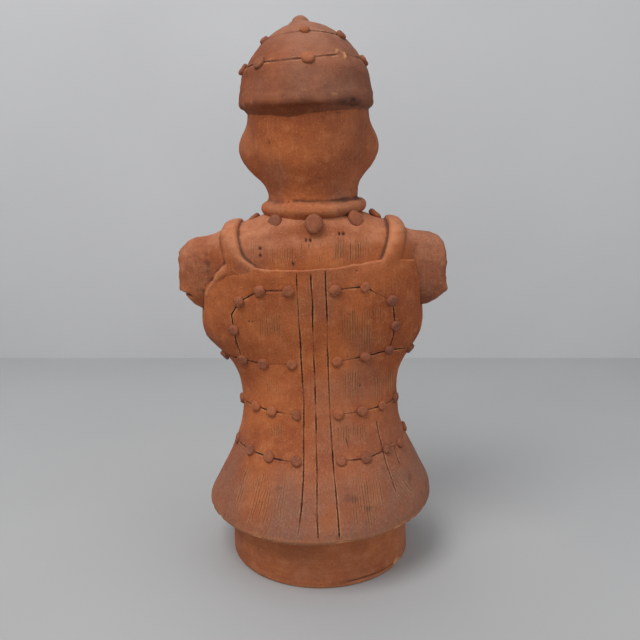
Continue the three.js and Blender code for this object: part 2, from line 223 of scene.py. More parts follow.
def low_fired_terracotta(name, body, dark, pale, grain):
    """Coarse red clay, open-fired at a low heat, with no glaze. It looks dry and matte, its orange
    brown drifts to grey purple where smoke reached it and where shade and sheen are painted on, sand
    grains show as fine specks, dirt and painted shade darken every cut, creases are drawn darker,
    soot and painted shadow lie dark, dust and painted light pale the faces turned up, and a fresh
    chip is pale orange."""
    material = blank_material(name)
    tree = material.node_tree
    spot = add(tree, "ShaderNodeTexCoord").outputs["Object"]

    def speckle(size_mm, detail, roughness=0.55, stretch=None):
        where = spot
        if stretch:
            where = add(tree, "ShaderNodeMapping", {"Vector": spot, "Scale": stretch}).outputs[0]
        inputs = {"Vector": where, "Scale": 1 / (size_mm * MM), "Detail": detail, "Roughness": roughness}
        return add(tree, "ShaderNodeTexNoise", inputs).outputs["Fac"]

    def remap(value, low, high, to_low=0.0, to_high=1.0):
        inputs = {0: value, 1: low, 2: high, 3: to_low, 4: to_high}
        return add(tree, "ShaderNodeMapRange", inputs, interpolation_type="SMOOTHSTEP").outputs[0]

    def maths(operation, *numbers):
        return add(tree, "ShaderNodeMath", dict(enumerate(numbers)), operation=operation).outputs[0]

    def times(a, b):
        return maths("MULTIPLY", a, b)

    def mixed(share, under, over):
        return add(tree, "ShaderNodeMix", {0: share, 6: under, 7: over}, data_type="RGBA").outputs[2]

    def mark(kind):
        return add(tree, "ShaderNodeAttribute", attribute_name=kind).outputs["Fac"]

    def absolute(a):
        return maths("ABSOLUTE", a)

    def shifted(a, b):
        return maths("ADD", a, b)

    drift = speckle(46, 3)
    patch = speckle(9, 4)
    sand = speckle(1.3, 2, 0.75)
    fine = speckle(0.45, 1, 0.5)
    up_streak = speckle(1.5, 3, 0.6, stretch=(1, 1, 0.09))
    round_streak = speckle(1.5, 3, 0.6, stretch=(0.09, 0.09, 1))
    streak = add(tree, "ShaderNodeMix", {0: mark("round"), 2: up_streak, 3: round_streak}).outputs[0]
    streak = times(streak, remap(patch, 0.35, 0.6, 0.75, 1.0))

    ragged = remap(sand, 0.3, 0.7, -0.22, 0.22)
    from_cut = shifted(absolute(mark("beside")), ragged)
    # A cut line is drawn dark: dirt and painted shade in its groove.
    line = times(mark("cut"), remap(from_cut, CUT_HALF * 0.55, CUT_HALF * 1.25, 1, 0))
    burr = remap(from_cut, CUT_HALF * 1.7, CUT_HALF * 3, 1, 0)
    burr = times(remap(from_cut, CUT_HALF, CUT_HALF * 1.6), burr)
    burr = times(times(burr, mark("cut")), remap(patch, 0.4, 0.6))

    tooth = shifted(mark("tooth"), remap(speckle(5, 1, stretch=(1, 1, 0.12)), 0.3, 0.7, -0.14, 0.14))
    off = absolute(shifted(maths("FRACT", tooth), -0.5))
    chance = add(tree, "ShaderNodeTexWhiteNoise", {"W": maths("FLOOR", tooth)}, noise_dimensions="1D")
    chance = add(tree, "ShaderNodeSeparateColor", {0: chance.outputs["Color"]}).outputs
    first = maths("SUBTRACT", mark("stroke"), times(chance[0], 0.25))
    last = shifted(mark("stroke"), times(chance[1], 0.4))
    drawn = times(remap(first, -0.02, 0.03), remap(last, 0.85, 1.05, 1, 0))
    drawn = times(times(drawn, remap(chance[2], 0.0, 0.6, 0.25, 1)), mark("comb"))
    drawn = times(drawn, remap(up_streak, 0.34, 0.5, 0.35, 1))
    groove = times(drawn, remap(off, 0.04, 0.18, 1, 0))
    ridge = times(drawn, times(remap(off, 0.18, 0.26), remap(off, 0.32, 0.46, 1, 0)))

    pit = speckle(1.9, 1, 0.4)
    colour = mixed(remap(drift, 0.36, 0.66), linear(dark), linear(body))
    for share, layer in (
            (remap(patch, 0.48, 0.8, 0, 0.3), pale),
            # The smoke grey also paints shade down the figure's right side and a greyish sheen on the
            # helmet's back.
            (times(mark("smoke_and_light"), remap(patch, 0.25, 0.7, 0.6, 1.0)), SMOKE_AND_LIGHT),
            # The dust pales faces turned up, and so also paints the light from above.
            (times(mark("dust_and_light"), remap(patch, 0.3, 0.7, 0.35, 0.75)), DUST_AND_LIGHT),
            (remap(streak, 0.46, 0.64, 0, 0.14), pale), (remap(streak, 0.24, 0.42, 0.2, 0), IRON_SPECK),
            (remap(sand, 0.57, 0.72, 0, 0.5), pale), (remap(sand, 0.28, 0.42, 0.6, 0), IRON_SPECK),
            (remap(pit, 0.18, 0.24, 0.6, 0), DIRT_AND_SHADE), (remap(pit, 0.77, 0.83, 0, 0.45), FRESH_CLAY),
            # Points standing out are drawn paler with wear; creases are drawn darker.
            (remap(mark("stands_out"), 0.06, 0.6, 0, 0.35), pale), (remap(mark("stands_out"), -0.5, -0.04, 0.7, 0), DIRT_AND_SHADE),
            (times(ridge, 0.6), FRESH_CLAY), (times(groove, 0.5), DIRT_AND_SHADE), (times(burr, 0.4), FRESH_CLAY),
            # The soot also paints shadow under the skirt's hem and the helmet's rim, and shade in the ear
            # creases.
            (line, DIRT_AND_SHADE), (times(mark("soot_and_shade"), remap(patch, 0.3, 0.6, 0.45, 1.0)), SOOT_AND_SHADE),
            (times(mark("chip"), remap(sand, 0.3, 0.6, 0.5, 1.0)), FRESH_CLAY)):
        colour = mixed(share, colour, linear(layer))
    rough = remap(patch, 0.3, 0.7, 0.72, 0.88)
    relief = None
    for height, strength, deep in (
            (patch, 0.45, 0.8), (streak, 0.3, 0.4), (sand, grain, 0.6), (fine, grain, 0.15),
            (remap(pit, 0.18, 0.28), 0.7, 0.4), (shifted(ridge, times(groove, -1.0)), 0.9, 0.45),
            (times(line, -1.0), 0.8, 0.5)):
        inputs = {"Height": height, "Strength": strength, "Distance": deep * MM}
        if relief:
            inputs["Normal"] = relief
        relief = add(tree, "ShaderNodeBump", inputs).outputs[0]
    shader = add(tree, "ShaderNodeBsdfPrincipled", {
        "Base Color": colour, "Roughness": rough, "Normal": relief,
        "IOR": 1.45, "Specular IOR Level": 0.3})
    add(tree, "ShaderNodeOutputMaterial", {"Surface": shader.outputs[0]})
    return material


SMOKE_AND_LIGHT = "#7D5647"
DUST_AND_LIGHT = "#B4795B"
CUT_HALF = 0.55  # half the width of a line cut with a point
DIRT_AND_SHADE = "#2A1812"
SOOT_AND_SHADE = "#2E231F"
IRON_SPECK = "#6B3D2A"
FRESH_CLAY = "#D69A6A"
smoothed_clay = low_fired_terracotta(
    "low_fired_terracotta_hand_smoothed", body="#AC5E32", dark="#934A26", pale="#C58156", grain=0.6)

FOOT_BACK = 80
FOOT_LEFT, FOOT_RIGHT = 79.5, 80.5
FOOT_TAPER = 1.5  # how much narrower it is at its top, in its 50 mm
FOOT_TOP = 53
FOOT_COLUMNS = 400
SMOOTHED_ROUND = [0.16, 0.16, 1]  # smoothing round and round draws the lumps out sideways
CHIP_AT = math.radians(149)  # where a flake has come off its lower edge
CHIP_WIDE, CHIP_DEEP = 7.5, 2.6
LEDGE_HEIGHT = 4.2  # the knife that trimmed the bottom left a ledge here, between two directions
LEDGE_FROM, LEDGE_TO = 1.75, 2.75

underside = [(-WALL + 1.5, 0), (-WALL + 4, 0), (-WALL + 6, 0), (-1.8, 0)]
outer_wall = [(-0.8, 0.25), (-0.2, 0.9)] + [(0, z) for z in np.linspace(1.8, FOOT_TOP, 60)]
inner_wall = [(-WALL, z) for z in np.linspace(FOOT_TOP, 3, 22)] + [(-WALL + 0.4, 1.0)]
profile = np.array(underside + outer_wall + inner_wall)
angle = np.linspace(0, 2 * math.pi, FOOT_COLUMNS, endpoint=False)
side_radius = np.where(np.cos(angle) > 0, FOOT_LEFT, FOOT_RIGHT)
radius = np.hypot(side_radius * np.cos(angle), FOOT_BACK * np.sin(angle))
height = np.repeat(profile[:, 1:], FOOT_COLUMNS, 1)
reach = radius + profile[:, :1] - FOOT_TAPER * height / 50
points = round_axis(reach, angle, height).reshape(-1, 3)
faces = ring_faces(len(profile), FOOT_COLUMNS)
x, y, z = points.T
turned = np.arctan2(y, x)
on_outside = np.hypot(x, y) > FOOT_BACK - WALL / 2
lift = worked(points, (0.9, 42, 1), (0.35, 12, 2), (0.1, 2.4, 4))
lift += worked(points * SMOOTHED_ROUND, (0.22, 2.6, 3))
flake = bump((turned - CHIP_AT) * FOOT_BACK, CHIP_WIDE) * smooth(CHIP_WIDE, 3.5, z)
ragged = smooth(0.35, 0.62, flake + 0.22 * lumps(points, 3, 5))
ledge = bump(z - LEDGE_HEIGHT - 0.8 * lumps(points, 15, 6), 0.7)
ledge *= smooth(LEDGE_FROM, LEDGE_FROM + 0.2, turned) * smooth(LEDGE_TO, LEDGE_TO - 0.15, turned)
lift = lift * smooth(0, 3, z) - on_outside * (CHIP_DEEP * ragged * smooth(-1, 1, z) + 0.5 * ledge)
points = points + outward(points, faces) * [1, 1, 0] * lift[:, None]
hem_shade = bump(x - 8, 30) * smooth(24, 42, z) * (y > 0)
marks = {
    "chip": on_outside * ragged * 0.8, "cut": 0.6 * on_outside * ledge, "round": 1.0, "haze_and_sheen": 0.4,
    # Besides real soot, this paints the shadow of the overhanging skirt on the top of the foot behind.
    "soot_and_shade": 0.35 * hem_shade * smooth(-0.2, 0.6, lumps(points, 14, 7)),
    "smoke_and_light": smooth(-0.1, 0.8, lumps(points, 48, 8)) * 0.6,
}
foot = clay_piece("foot", points, faces, marks, smoothed_clay)
fired_with_figure(foot)

# ---- The cuirass and its skirt ------------------------------------------------------------------
# The trunk is one tapering clay tube that flares out into a skirt. It is dressed as a short riveted
# cuirass: a plate stands proud round the chest, three upright lines make a band down the back, the
# rows of studs are joined by lines cut with a point, and a wooden comb was dragged down the panels.


class Girth:
    """A clay tube's size at every height, on a smooth curve through given stations.
    A station is [height, left, right, back, front, squareness]."""

    def __init__(self, stations, step=0.25):
        rows = np.array(stations, float)
        z = rows[:, 0]
        slopes = np.zeros_like(rows)
        for i in range(len(rows)):
            before, after = rows[max(i - 1, 0)], rows[min(i + 1, len(rows) - 1)]
            slopes[i] = (after - before) / (after[0] - before[0])
        self.z = np.arange(z[0], z[-1] + step, step)
        i = np.clip(np.searchsorted(z, self.z, "right") - 1, 0, len(z) - 2)
        span = (z[i + 1] - z[i])[:, None]
        t = np.clip((self.z - z[i])[:, None] / span, 0, 1)
        self.rows = (
            (2 * t**3 - 3 * t**2 + 1) * rows[i] + (t**3 - 2 * t**2 + t) * span * slopes[i]
            + (3 * t**2 - 2 * t**3) * rows[i + 1] + (t**3 - t**2) * span * slopes[i + 1])

    def at(self, z):
        return [np.interp(z, self.z, self.rows[:, k]) for k in range(1, 6)]

    def reach(self, turned, z):
        """Distance from the axis to the skin in this direction. A quarter turn is the back."""
        left, right, back, front, square = self.at(z)
        c, s = np.cos(turned), np.sin(turned)
        across = np.abs(c) / np.where(c > 0, left, right)
        deep = np.abs(s) / np.where(s > 0, back, front)
        return (across**square + deep**square) ** (-1 / square)

    def point(self, turned, z):
        """A point on the skin."""
        turned, z = np.broadcast_arrays(np.asarray(turned, float), np.asarray(z, float))
        out = self.reach(turned, z)
        return np.stack([out * np.cos(turned), out * np.sin(turned), z], -1)

    def direction(self, x, z, behind=True):
        """The direction from the axis in which the skin is this far across, behind or in front."""
        left, right, back, front, square = self.at(z)
        share = np.clip(np.abs(x) / np.where(x > 0, left, right), 0, 0.9995)
        y = (back if behind else front) * (1 - share**square) ** (1 / square)
        return np.arctan2(y if behind else -y, x)

    def facing(self, turned, z, nudge=0.4):
        """The outward direction of the skin."""
        beside = self.point(turned + nudge / 60, z) - self.point(turned - nudge / 60, z)
        above = self.point(turned, z + nudge) - self.point(turned, z - nudge)
        normal = np.cross(beside, above)
        return normal / np.linalg.norm(normal, axis=-1, keepdims=True)


HEM = 50
TRUNK = Girth([
    [HEM, 97, 100.5, 97, 97, 2.0], [54, 98, 101.5, 99, 99, 2.0], [64, 93.5, 99.5, 95, 95, 2.0],
    [84, 82, 90, 82, 84, 2.05], [104, 73, 80.5, 67, 72, 2.1], [124, 66.5, 74, 55, 61, 2.2],
    [145, 64.5, 72.5, 47, 56, 2.3], [163, 66.5, 73.5, 43.5, 56, 2.35], [174, 70.5, 76.5, 42, 58, 2.4],
    [184, 77, 82, 41, 60, 2.4], [194, 86.5, 88.5, 42, 63, 2.4], [205, 94.6, 93.3, 44, 65, 2.5],
    [235, 95.2, 93.8, 49, 64, 2.6], [276, 90, 90.5, 52, 56, 2.6]])

# The top edge of the plate behind, from the figure's right to its left: [across, height]
EDGE_BEHIND = np.array([
    [-95, 259], [-91.5, 264], [-88, 266.4], [-77, 268], [-56, 269], [-40, 268], [-24, 266.5], [6, 264.5],
    [36, 264.5], [46, 265.5], [56, 266.5], [70, 264], [80, 257], [88, 250], [96, 246]])
EDGE_IN_FRONT = 265
ARMHOLE_BOTTOM = 226
ARMHOLE_MIDDLE, ARMHOLE_HALF = 1, 21.5
COLUMNS = 452
CROWDING = 0.5  # columns stand closer together behind, where the finest marks are
OUTER_ROWS = 182

levels = np.arange(HEM, 275, 1.0)
fan = np.linspace(-math.pi / 2, 1.5 * math.pi, 1441)
share = np.arange(COLUMNS) / COLUMNS
share = share + CROWDING * np.sin(2 * math.pi * share) / (2 * math.pi)
columns_at = np.zeros((len(levels), COLUMNS))
for k, z in enumerate(levels):
    rim = TRUNK.point(fan, z)
    run = np.concatenate([[0], np.cumsum(np.linalg.norm(np.diff(rim, axis=0), axis=1))])
    columns_at[k] = np.interp(share * run[-1], run, fan)


def column_turn(z):
    """The direction of every column at these heights, one height per column."""
    spot = np.clip(z - HEM, 0, len(levels) - 1.001)
    k = spot.astype(int)
    j = np.arange(COLUMNS)
    return columns_at[k, j] * (1 - (spot - k)) + columns_at[k + 1, j] * (spot - k)


chest = TRUNK.point(columns_at[200], HEM + 200)
edge = np.where(
    chest[:, 1] > 0, np.interp(chest[:, 0], EDGE_BEHIND[:, 0], EDGE_BEHIND[:, 1]),
    EDGE_IN_FRONT + 4 * smooth(25, 60, np.abs(chest[:, 0])) - 12 * smooth(76, 92, np.abs(chest[:, 0])))
edge = edge + worked(chest, (0.7, 9, 11), (0.9, 22, 12))
past_armhole = np.abs(chest[:, 1] - ARMHOLE_MIDDLE) - ARMHOLE_HALF
edge = edge + (ARMHOLE_BOTTOM - edge) * smooth(2.2, -2.2, past_armhole)

BODY_BORE = 69
hem_lip = [(0.05, 51.6), (0.35, 51.1), (0.7, 50.7), (0.9, 50.4), (0.975, 50.15)]  # from the foot out
rows = []
for out, z in hem_lip:
    turned = column_turn(np.full(COLUMNS, 54.0))
    lip = TRUNK.reach(turned, 52.0) - 0.6
    rows.append(round_axis(BODY_BORE + (lip - BODY_BORE) * out, turned, np.full(COLUMNS, z)))
up = np.linspace(0, 1, OUTER_ROWS)
up = up + 0.03 * np.sin(2 * math.pi * up) / (2 * math.pi) - 0.012 * np.sin(4 * math.pi * up)
for share in up:
    z = HEM + 0.6 + (edge - HEM - 1.8) * share
    rows.append(TRUNK.point(column_turn(z), z))
last_outer = len(rows)
plate_lip = [(0.5, -0.6), (1.4, -0.1), (2.6, 0.0), (4.2, -0.3), (5.4, -1.4), (6.0, -4)]
body_inside = np.linspace(1, 0, 19)
for sunk, drop in plate_lip:
    z = edge + drop
    turned = column_turn(z)
    rows.append(round_axis(TRUNK.reach(turned, z) - sunk, turned, z))
for share in body_inside:
    z = HEM + 4 + (edge - HEM - 16) * share
    turned = column_turn(z)
    bore = TRUNK.reach(turned, z) - WALL
    rows.append(round_axis(BODY_BORE + (bore - BODY_BORE) * smooth(HEM, 80, z), turned, z))
points = np.stack(rows).reshape(-1, 3)
faces = ring_faces(len(rows), COLUMNS)
row_of = np.repeat(np.arange(len(rows)), COLUMNS)
outside = (row_of >= 3) & (row_of < last_outer + 3)
behind = points[:, 1] > 0


def spots_on_trunk(line, is_behind=True, side=1):
    """A line given as [across, height] on the trunk's skin, as (direction, height)."""
    return [(float(TRUNK.direction(side * x, z, is_behind)), z) for x, z in line]


def near_line(points, line, reach):
    """How far each point is from a line of points in mm, up to reach: to one side of it above 0,
    to the other below. Past the line's two ends there is no line, only the reach."""
    nearest = np.full(len(points), float(reach))
    for k, (a, b) in enumerate(zip(line[:-1], line[1:])):
        low, high = np.minimum(a, b) - reach, np.maximum(a, b) + reach
        close = np.flatnonzero(np.all((points > low) & (points < high), axis=1))
        if len(close):
            along = b - a
            t = (points[close] - a) @ along / (along @ along)
            ended = (k == 0) & (t < 0) | (k == len(line) - 2) & (t > 1)
            off = points[close] - a - np.clip(t, 0, 1)[:, None] * along
            gap = np.where(ended, reach, np.linalg.norm(off, axis=1))
            side = np.where(off @ np.cross(along, a * [1, 1, 0]) < 0, -1, 1)
            nearest[close] = np.where(gap < np.abs(nearest[close]), side * gap, nearest[close])
    return nearest


def on_skin(form, stops, spacing=1.2):
    """A fine line on a form's skin through stops given as (direction, height)."""
    stops = np.array(stops, float)
    stops[:, 0] = np.unwrap(stops[:, 0])
    ends = form.point(stops[:, 0], stops[:, 1])
    run = np.concatenate([[0], np.cumsum(np.linalg.norm(np.diff(ends, axis=0), axis=1))])
    fine = np.linspace(0, run[-1], max(2, int(run[-1] / spacing)))
    return form.point(np.interp(fine, run, stops[:, 0]), np.interp(fine, run, stops[:, 1]))


def wander(line, seed, by=0.5):
    """The same line, as an unguided hand would draw it."""
    return line + by * np.stack([lumps(line, 17, seed + k) for k in range(3)], 1)


def score(points, lines, depth, seed):
    """Lines cut in soft clay with a point: how deep each point is cut, how strong the nearest line
    is there, and how far to one side of it the point is."""
    half, reach = 2 * CUT_HALF, 6 * CUT_HALF
    sunk, strength, beside = (np.zeros(len(points)) for _ in range(3))
    beside += reach
    for k, line in enumerate(lines):
        gap = near_line(points, wander(line, seed + 3 * k), reach)
        force = np.clip(0.75 + 0.75 * lumps(points, 12, seed + 3 * k + 1), 0.2, 1)
        force *= smooth(reach, 0.6 * reach, np.abs(gap))
        nearer = np.abs(gap) < np.abs(beside)
        beside = np.where(nearer, gap, beside)
        strength = np.where(nearer, force, strength)
        groove = smooth(half, 0.15 * half, np.abs(gap))
        ridge = 0.2 * np.exp(-((np.abs(gap) - 1.3 * half) / (0.4 * half)) ** 2) * (np.abs(gap) < reach)
        sunk = np.maximum(sunk, depth * force * groove) - depth * ridge * (sunk < 0.1 * depth)
    return [sunk, strength, beside]


def stronger(one, other):
    """Of two sets of scored lines, the nearer line at each point."""
    nearer = np.abs(one[2]) < np.abs(other[2])
    return [np.maximum(one[0], other[0])] + [np.where(nearer, one[k], other[k]) for k in (1, 2)]


# Each row of studs: [across, height] from the back band outwards. The last number pair of the top row
# turns down, and its line goes on to the third stud of the second row.
STUDS_LEFT = [
    [[18.5, 247], [41.6, 247.5], [59.2, 238.4], [65, 213.8]],
    [[18.4, 183.5], [42.2, 183.8], [60, 186], [76.4, 186.4]],
    [[15.8, 141.5], [36.6, 143.4], [50.4, 145.2], [63.6, 145.2]],
    [[16.7, 107.1], [39.5, 108.3], [56, 108.7], [69, 109.6]]]
STUDS_RIGHT = [
    [[-18.5, 246.8], [-42.5, 248.5], [-64.4, 235.4], [-67.6, 213.4]],
    [[-19, 185], [-42.4, 187.8], [-62.9, 191.7], [-81.6, 188.5]],
    [[-19.1, 141.3], [-38.7, 142], [-56.8, 143], [-69, 144.4]],
    [[-20.1, 106.6], [-41, 106], [-59.2, 108], [-71.6, 107], [-80, 111]]]
STUDS_IN_FRONT = [
    [[18.6, 247], [41.1, 247.5], [61.6, 237]], [[18.6, 184], [41.1, 185.5], [61.6, 187.5]],
    [[18.6, 141.5], [38.6, 142.5], [54.6, 143.5]], [[17.6, 107], [40.1, 107.5], [57.6, 108.5]]]
LOOP_BEHIND, LOOP_IN_FRONT = [66.4, 227], [66, 213]  # where the top row's loop bulges furthest
stud_rows, row_lines = [], []
for side, back_rows in ((1, STUDS_LEFT), (-1, STUDS_RIGHT)):
    back_stops = [spots_on_trunk(row) for row in back_rows]
    front_stops = [spots_on_trunk(row, False, side) for row in STUDS_IN_FRONT]
    stud_rows += back_stops + front_stops
    top, bulge = back_stops[0], spots_on_trunk([LOOP_BEHIND], True, side)
    row_lines.append(on_skin(TRUNK, top[:3] + bulge + top[3:] + [back_stops[1][2]]))
    bulge = spots_on_trunk([LOOP_IN_FRONT], False, side)
    row_lines.append(on_skin(TRUNK, front_stops[0] + bulge + [front_stops[1][2]]))
    for back, front in zip(back_stops[1:], front_stops[1:]):
        row_lines.append(on_skin(TRUNK, back + front[::-1]))

BAND = [
    [[11.5, 262], [11.2, 224], [10.4, 186], [10, 126], [11.1, 95], [12.9, 78], [15.9, 58.5]],
    [[0, 261], [0, 224], [0, 186], [0, 126], [0, 95], [0.3, 57.5]],
    [[-11, 264], [-11.6, 219], [-11.8, 186], [-12.8, 126], [-14.7, 95], [-17.2, 57]]]
band_lines = [
    on_skin(TRUNK, spots_on_trunk(line, is_behind)) for is_behind in (True, False) for line in BAND]

# Patches dragged with the comb: [across from, across to, top, bottom, how much they spread, depth]
COMBED = [
    [26, 44, 232, 204, 0.0, 0.8], [-24, -57, 232, 192, 0.0, 1.0], [29, 40, 171, 154, 0.0, 0.7],
    [-24, -41, 177, 151, 0.0, 1.0], [-51, -68, 172, 144, 0.0, 0.9], [28, 37, 135, 120, 0.0, 0.7],
    [-19, -42, 134, 116, 0.0, 1.0], [22, 58, 101, 54, 0.30, 0.7], [-25, -50, 99, 53, 0.15, 0.8],
    [-56, -66, 92, 66, 0.3, 0.7], [-52, -60, 232, 214, 0.0, 0.5]]
TOOTH, TOOTH_DEEP = 2.0, 0.2  # spacing of the comb's teeth, and how deep they bite


def comb(points, patches, behind, seed):
    """Strokes of a wooden comb down the clay: how deep each point is scraped, how strong the strokes
    are there, the count of strokes across, and the share of the way down them."""
    x, _, z = points.T
    scraped, strong, across, down = (np.zeros(len(points)) for _ in range(4))
    for k, (start, end, top, bottom, spread, force) in enumerate(patches):
        low, high = min(start, end), max(start, end)
        opened = x / (1 + spread * (top - z) / (top - bottom))
        opened = opened + 0.5 * lumps(points * [0, 0, 1], 23, seed) - 0.012 * (top - z)
        near = (opened > low - 3) & (opened < high + 3) & (z > bottom - 6) & (z < top + 6) & behind
        inside = smooth(low - 0.6, low, opened) * smooth(high + 0.6, high, opened) * near
        fade = np.clip(0.7 + 0.5 * lumps(points, 9, seed + 1), 0, 1) * force * inside
        fade *= smooth(bottom - 3, bottom + 2, z) * smooth(top + 2, top - 1, z)
        strong = np.maximum(strong, fade)
        across = np.where(near, (opened - low) / TOOTH + 40 * k, across)
        down = np.where(near, (top - z) / (top - bottom), down)
        off = np.abs((opened - low) / TOOTH % 1 - 0.5) * TOOTH
        scraped += TOOTH_DEEP * fade * (smooth(0.9, 0.1, off) - 0.3)
    return scraped, strong, across, down


lines = stronger(score(points, row_lines, 0.9, 40), score(points, band_lines, 1.0, 80))
scraped, comb_force, tooth, stroke = comb(points, COMBED, behind, 7)
CRACKS = [
    [[-51.7, 132], [-53, 121], [-55.3, 112], [-58.7, 96.5], [-62.5, 86], [-65.7, 77]],
    [[-66.5, 106], [-68.5, 100], [-70.3, 93.7]], [[-24.5, 122], [-26.5, 115.5]]]
cracks = score(points, [on_skin(TRUNK, spots_on_trunk(line)) for line in CRACKS], 0.4, 120)
cracks[1] = 0.65 * cracks[1]
sunk, line_force, beside = stronger(lines, cracks)
PIN_HOLES = [[49, 221.5], [51.8, 221.3], [-36, 262], [-38, 163]]
holes = np.zeros(len(points))
for turn, up in spots_on_trunk(PIN_HOLES):
    holes = np.maximum(holes, smooth(1.2, 0.4, np.linalg.norm(points - TRUNK.point(turn, up), axis=1)))

x, y, z = points.T
hand = worked(points, (0.75, 40, 13), (0.4, 15, 14), (0.07, 2.2, 16))
hand += worked(points * [1, 1, 0.5], (0.13, 5, 15))
flaked = lumps(points * [1, 1, 0.4], 6, 17) + 0.3 * lumps(points, 2.5, 18)
flaked = smooth(0.15, 0.6, flaked) * smooth(HEM + 5, HEM + 1.5, z)
below_edge = np.tile(edge, len(rows)) - z
hand = hand + smooth(7, 1, below_edge) * (0.4 * lumps(points, 6, 19) - 0.1) - 0.8 * flaked
shelf = smooth(0, 7, below_edge) * smooth(24, 8, below_edge) * behind * smooth(14, 30, np.abs(x))
hand = hand + 0.8 * shelf * (0.5 + 0.7 * lumps(points * [1, 1, 1.6], 16, 20))
lumpy = behind * smooth(66, 78, x) * smooth(225, 245, z)
hand = hand + lumpy * worked(points, (0.7, 7, 21), (0.35, 3, 22))
hand = hand - sunk * (0.1 + 0.9 * smooth(3, 9, below_edge)) - scraped - 0.6 * holes
lift = np.where(outside, hand, worked(points, (0.24, 26, 23))) * smooth(0, 2, row_of)
points = points + outward(points, faces) * lift[:, None]
# Painted shade down the figure's right side, laid on with the smoke grey.
shaded_right_side = smooth(20, -70, x) * smooth(190, 90, z)
away = smooth(3, 9, np.abs(np.tile(past_armhole, len(rows))))  # from where the columns bend down
marks = {
    "cut": np.clip(line_force * smooth(1, 5, below_edge) + holes, 0, 1) * outside,
    "beside": np.where(holes > 0.05, 0, beside),
    "comb": comb_force * outside, "tooth": tooth, "stroke": stroke, "chip": flaked,
    # Dust, with painted top light, grows towards the shoulders.
    "wear": (1 - 0.9 * smooth(7, 3, below_edge)) * away, "top_dust_and_light": 0.15 + 0.6 * smooth(170, 245, z),
    "smoke_and_light": np.clip(
        0.55 * shaded_right_side + 0.8 * smooth(110, 70, z) * smooth(-0.9, 0.2, lumps(points, 30, 25))
        + 0.45 * smooth(0, 0.7, lumps(points, 34, 26)), 0, 1) * outside,
    "soot_and_shade": 0.5 * smooth(0.55, 0.9, lumps(points, 8, 27)) * outside * smooth(120, 60, z),
}
cuirass = clay_piece("cuirass", points, faces, marks, smoothed_clay)
fired_with_figure(cuirass)

# ---- Shoulders, straps and arms -----------------------------------------------------------------
# The shoulders close the tube over to the neck. A clay band runs over each shoulder from plate to
# plate as the cuirass's strap, and each arm is a short roll of coarse clay, broken off rough.


def blend(a, b, soft):
    """Joins two solids, given by their distances, with a fillet this many mm wide."""
    share = np.clip(0.5 + 0.5 * (b - a) / soft, 0, 1)
    return b + (a - b) * share - soft * share * (1 - share)


def trim(a, b, soft):
    """What two solids have in common, with its edge rounded over this many mm."""
    return -blend(-a, -b, soft)


def skin_of(solid, low, high, cell):
    """The closed four-sided skin of a solid. The solid gives its distance, below 0 inside, at any
    points. Each cell that the skin passes through gets one point, which is then drawn to the skin."""
    counts = np.ceil((np.array(high) - low) / cell).astype(int) + 1
    axes = [low[k] + cell * np.arange(counts[k]) for k in range(3)]
    block = 5  # only blocks that the skin may pass through are looked at finely
    coarse = [low[k] + cell * (block * np.arange(-(-counts[k] // block)) + block // 2) for k in range(3)]
    grid = np.stack(np.meshgrid(*coarse, indexing="ij"), -1)
    field = solid(grid.reshape(-1, 3)).reshape(grid.shape[:3])
    for k in range(3):
        field = np.repeat(field, block, k)
    field = field[:counts[0], :counts[1], :counts[2]].astype(np.float32)
    fine = np.nonzero(np.abs(field) < 1.6 * block * cell)
    field[fine] = solid(np.stack([axes[k][fine[k]] for k in range(3)], 1))
    inside = field < 0
    corner = [np.array([k & 1, k >> 1 & 1, k >> 2 & 1]) for k in range(8)]

    def shifted(array, step):
        return array[tuple(slice(s, array.shape[k] - 1 + s) for k, s in enumerate(step))]

    held = sum(shifted(inside, c).astype(int) for c in corner)
    cells = np.argwhere((held > 0) & (held < 8))
    number = np.full(np.array(field.shape) - 1, -1, np.int64)
    number[tuple(cells.T)] = np.arange(len(cells))
    total, crossings = np.zeros((len(cells), 3)), np.zeros(len(cells))
    for a in range(8):
        for axis in range(3):
            if not a >> axis & 1:
                start = corner[a]
                end = corner[a | 1 << axis]
                from_value = field[tuple((cells + start).T)]
                to_value = field[tuple((cells + end).T)]
                crossed = (from_value < 0) != (to_value < 0)
                t = np.where(crossed, from_value / np.where(crossed, from_value - to_value, 1), 0)
                total += crossed[:, None] * (start + t[:, None] * (end - start))
                crossings += crossed
    points = np.array(low) + cell * (cells + total / crossings[:, None])
    quads = []
    for axis in range(3):
        u, v = (axis + 1) % 3, (axis + 2) % 3
        first = np.take(inside, range(counts[axis] - 1), axis)
        second = np.take(inside, range(1, counts[axis]), axis)
        for leaving, turn in ((first & ~second, 1), (~first & second, -1)):
            at = np.argwhere(leaving)
            at = at[(at[:, u] > 0) & (at[:, v] > 0) & (at[:, u] < counts[u] - 1) & (at[:, v] < counts[v] - 1)]
            ring = []
            for du, dv in ((-1, -1), (0, -1), (0, 0), (-1, 0)):
                there = at.copy()
                there[:, u] += du
                there[:, v] += dv
                ring.append(number[tuple(there.T)])
            quads.append(np.stack(ring[::turn], 1))
    faces = np.concatenate(quads)
    step = 0.25
    for _ in range(2):
        slope = np.stack([solid(points + step * np.eye(3)[k]) - solid(points - step * np.eye(3)[k])
                          for k in range(3)], 1) / (2 * step)
        size = np.maximum((slope**2).sum(1), 0.2)
        move = -(solid(points) / size)[:, None] * slope
        points = points + np.clip(move, -0.45 * cell, 0.45 * cell)
    return points, faces


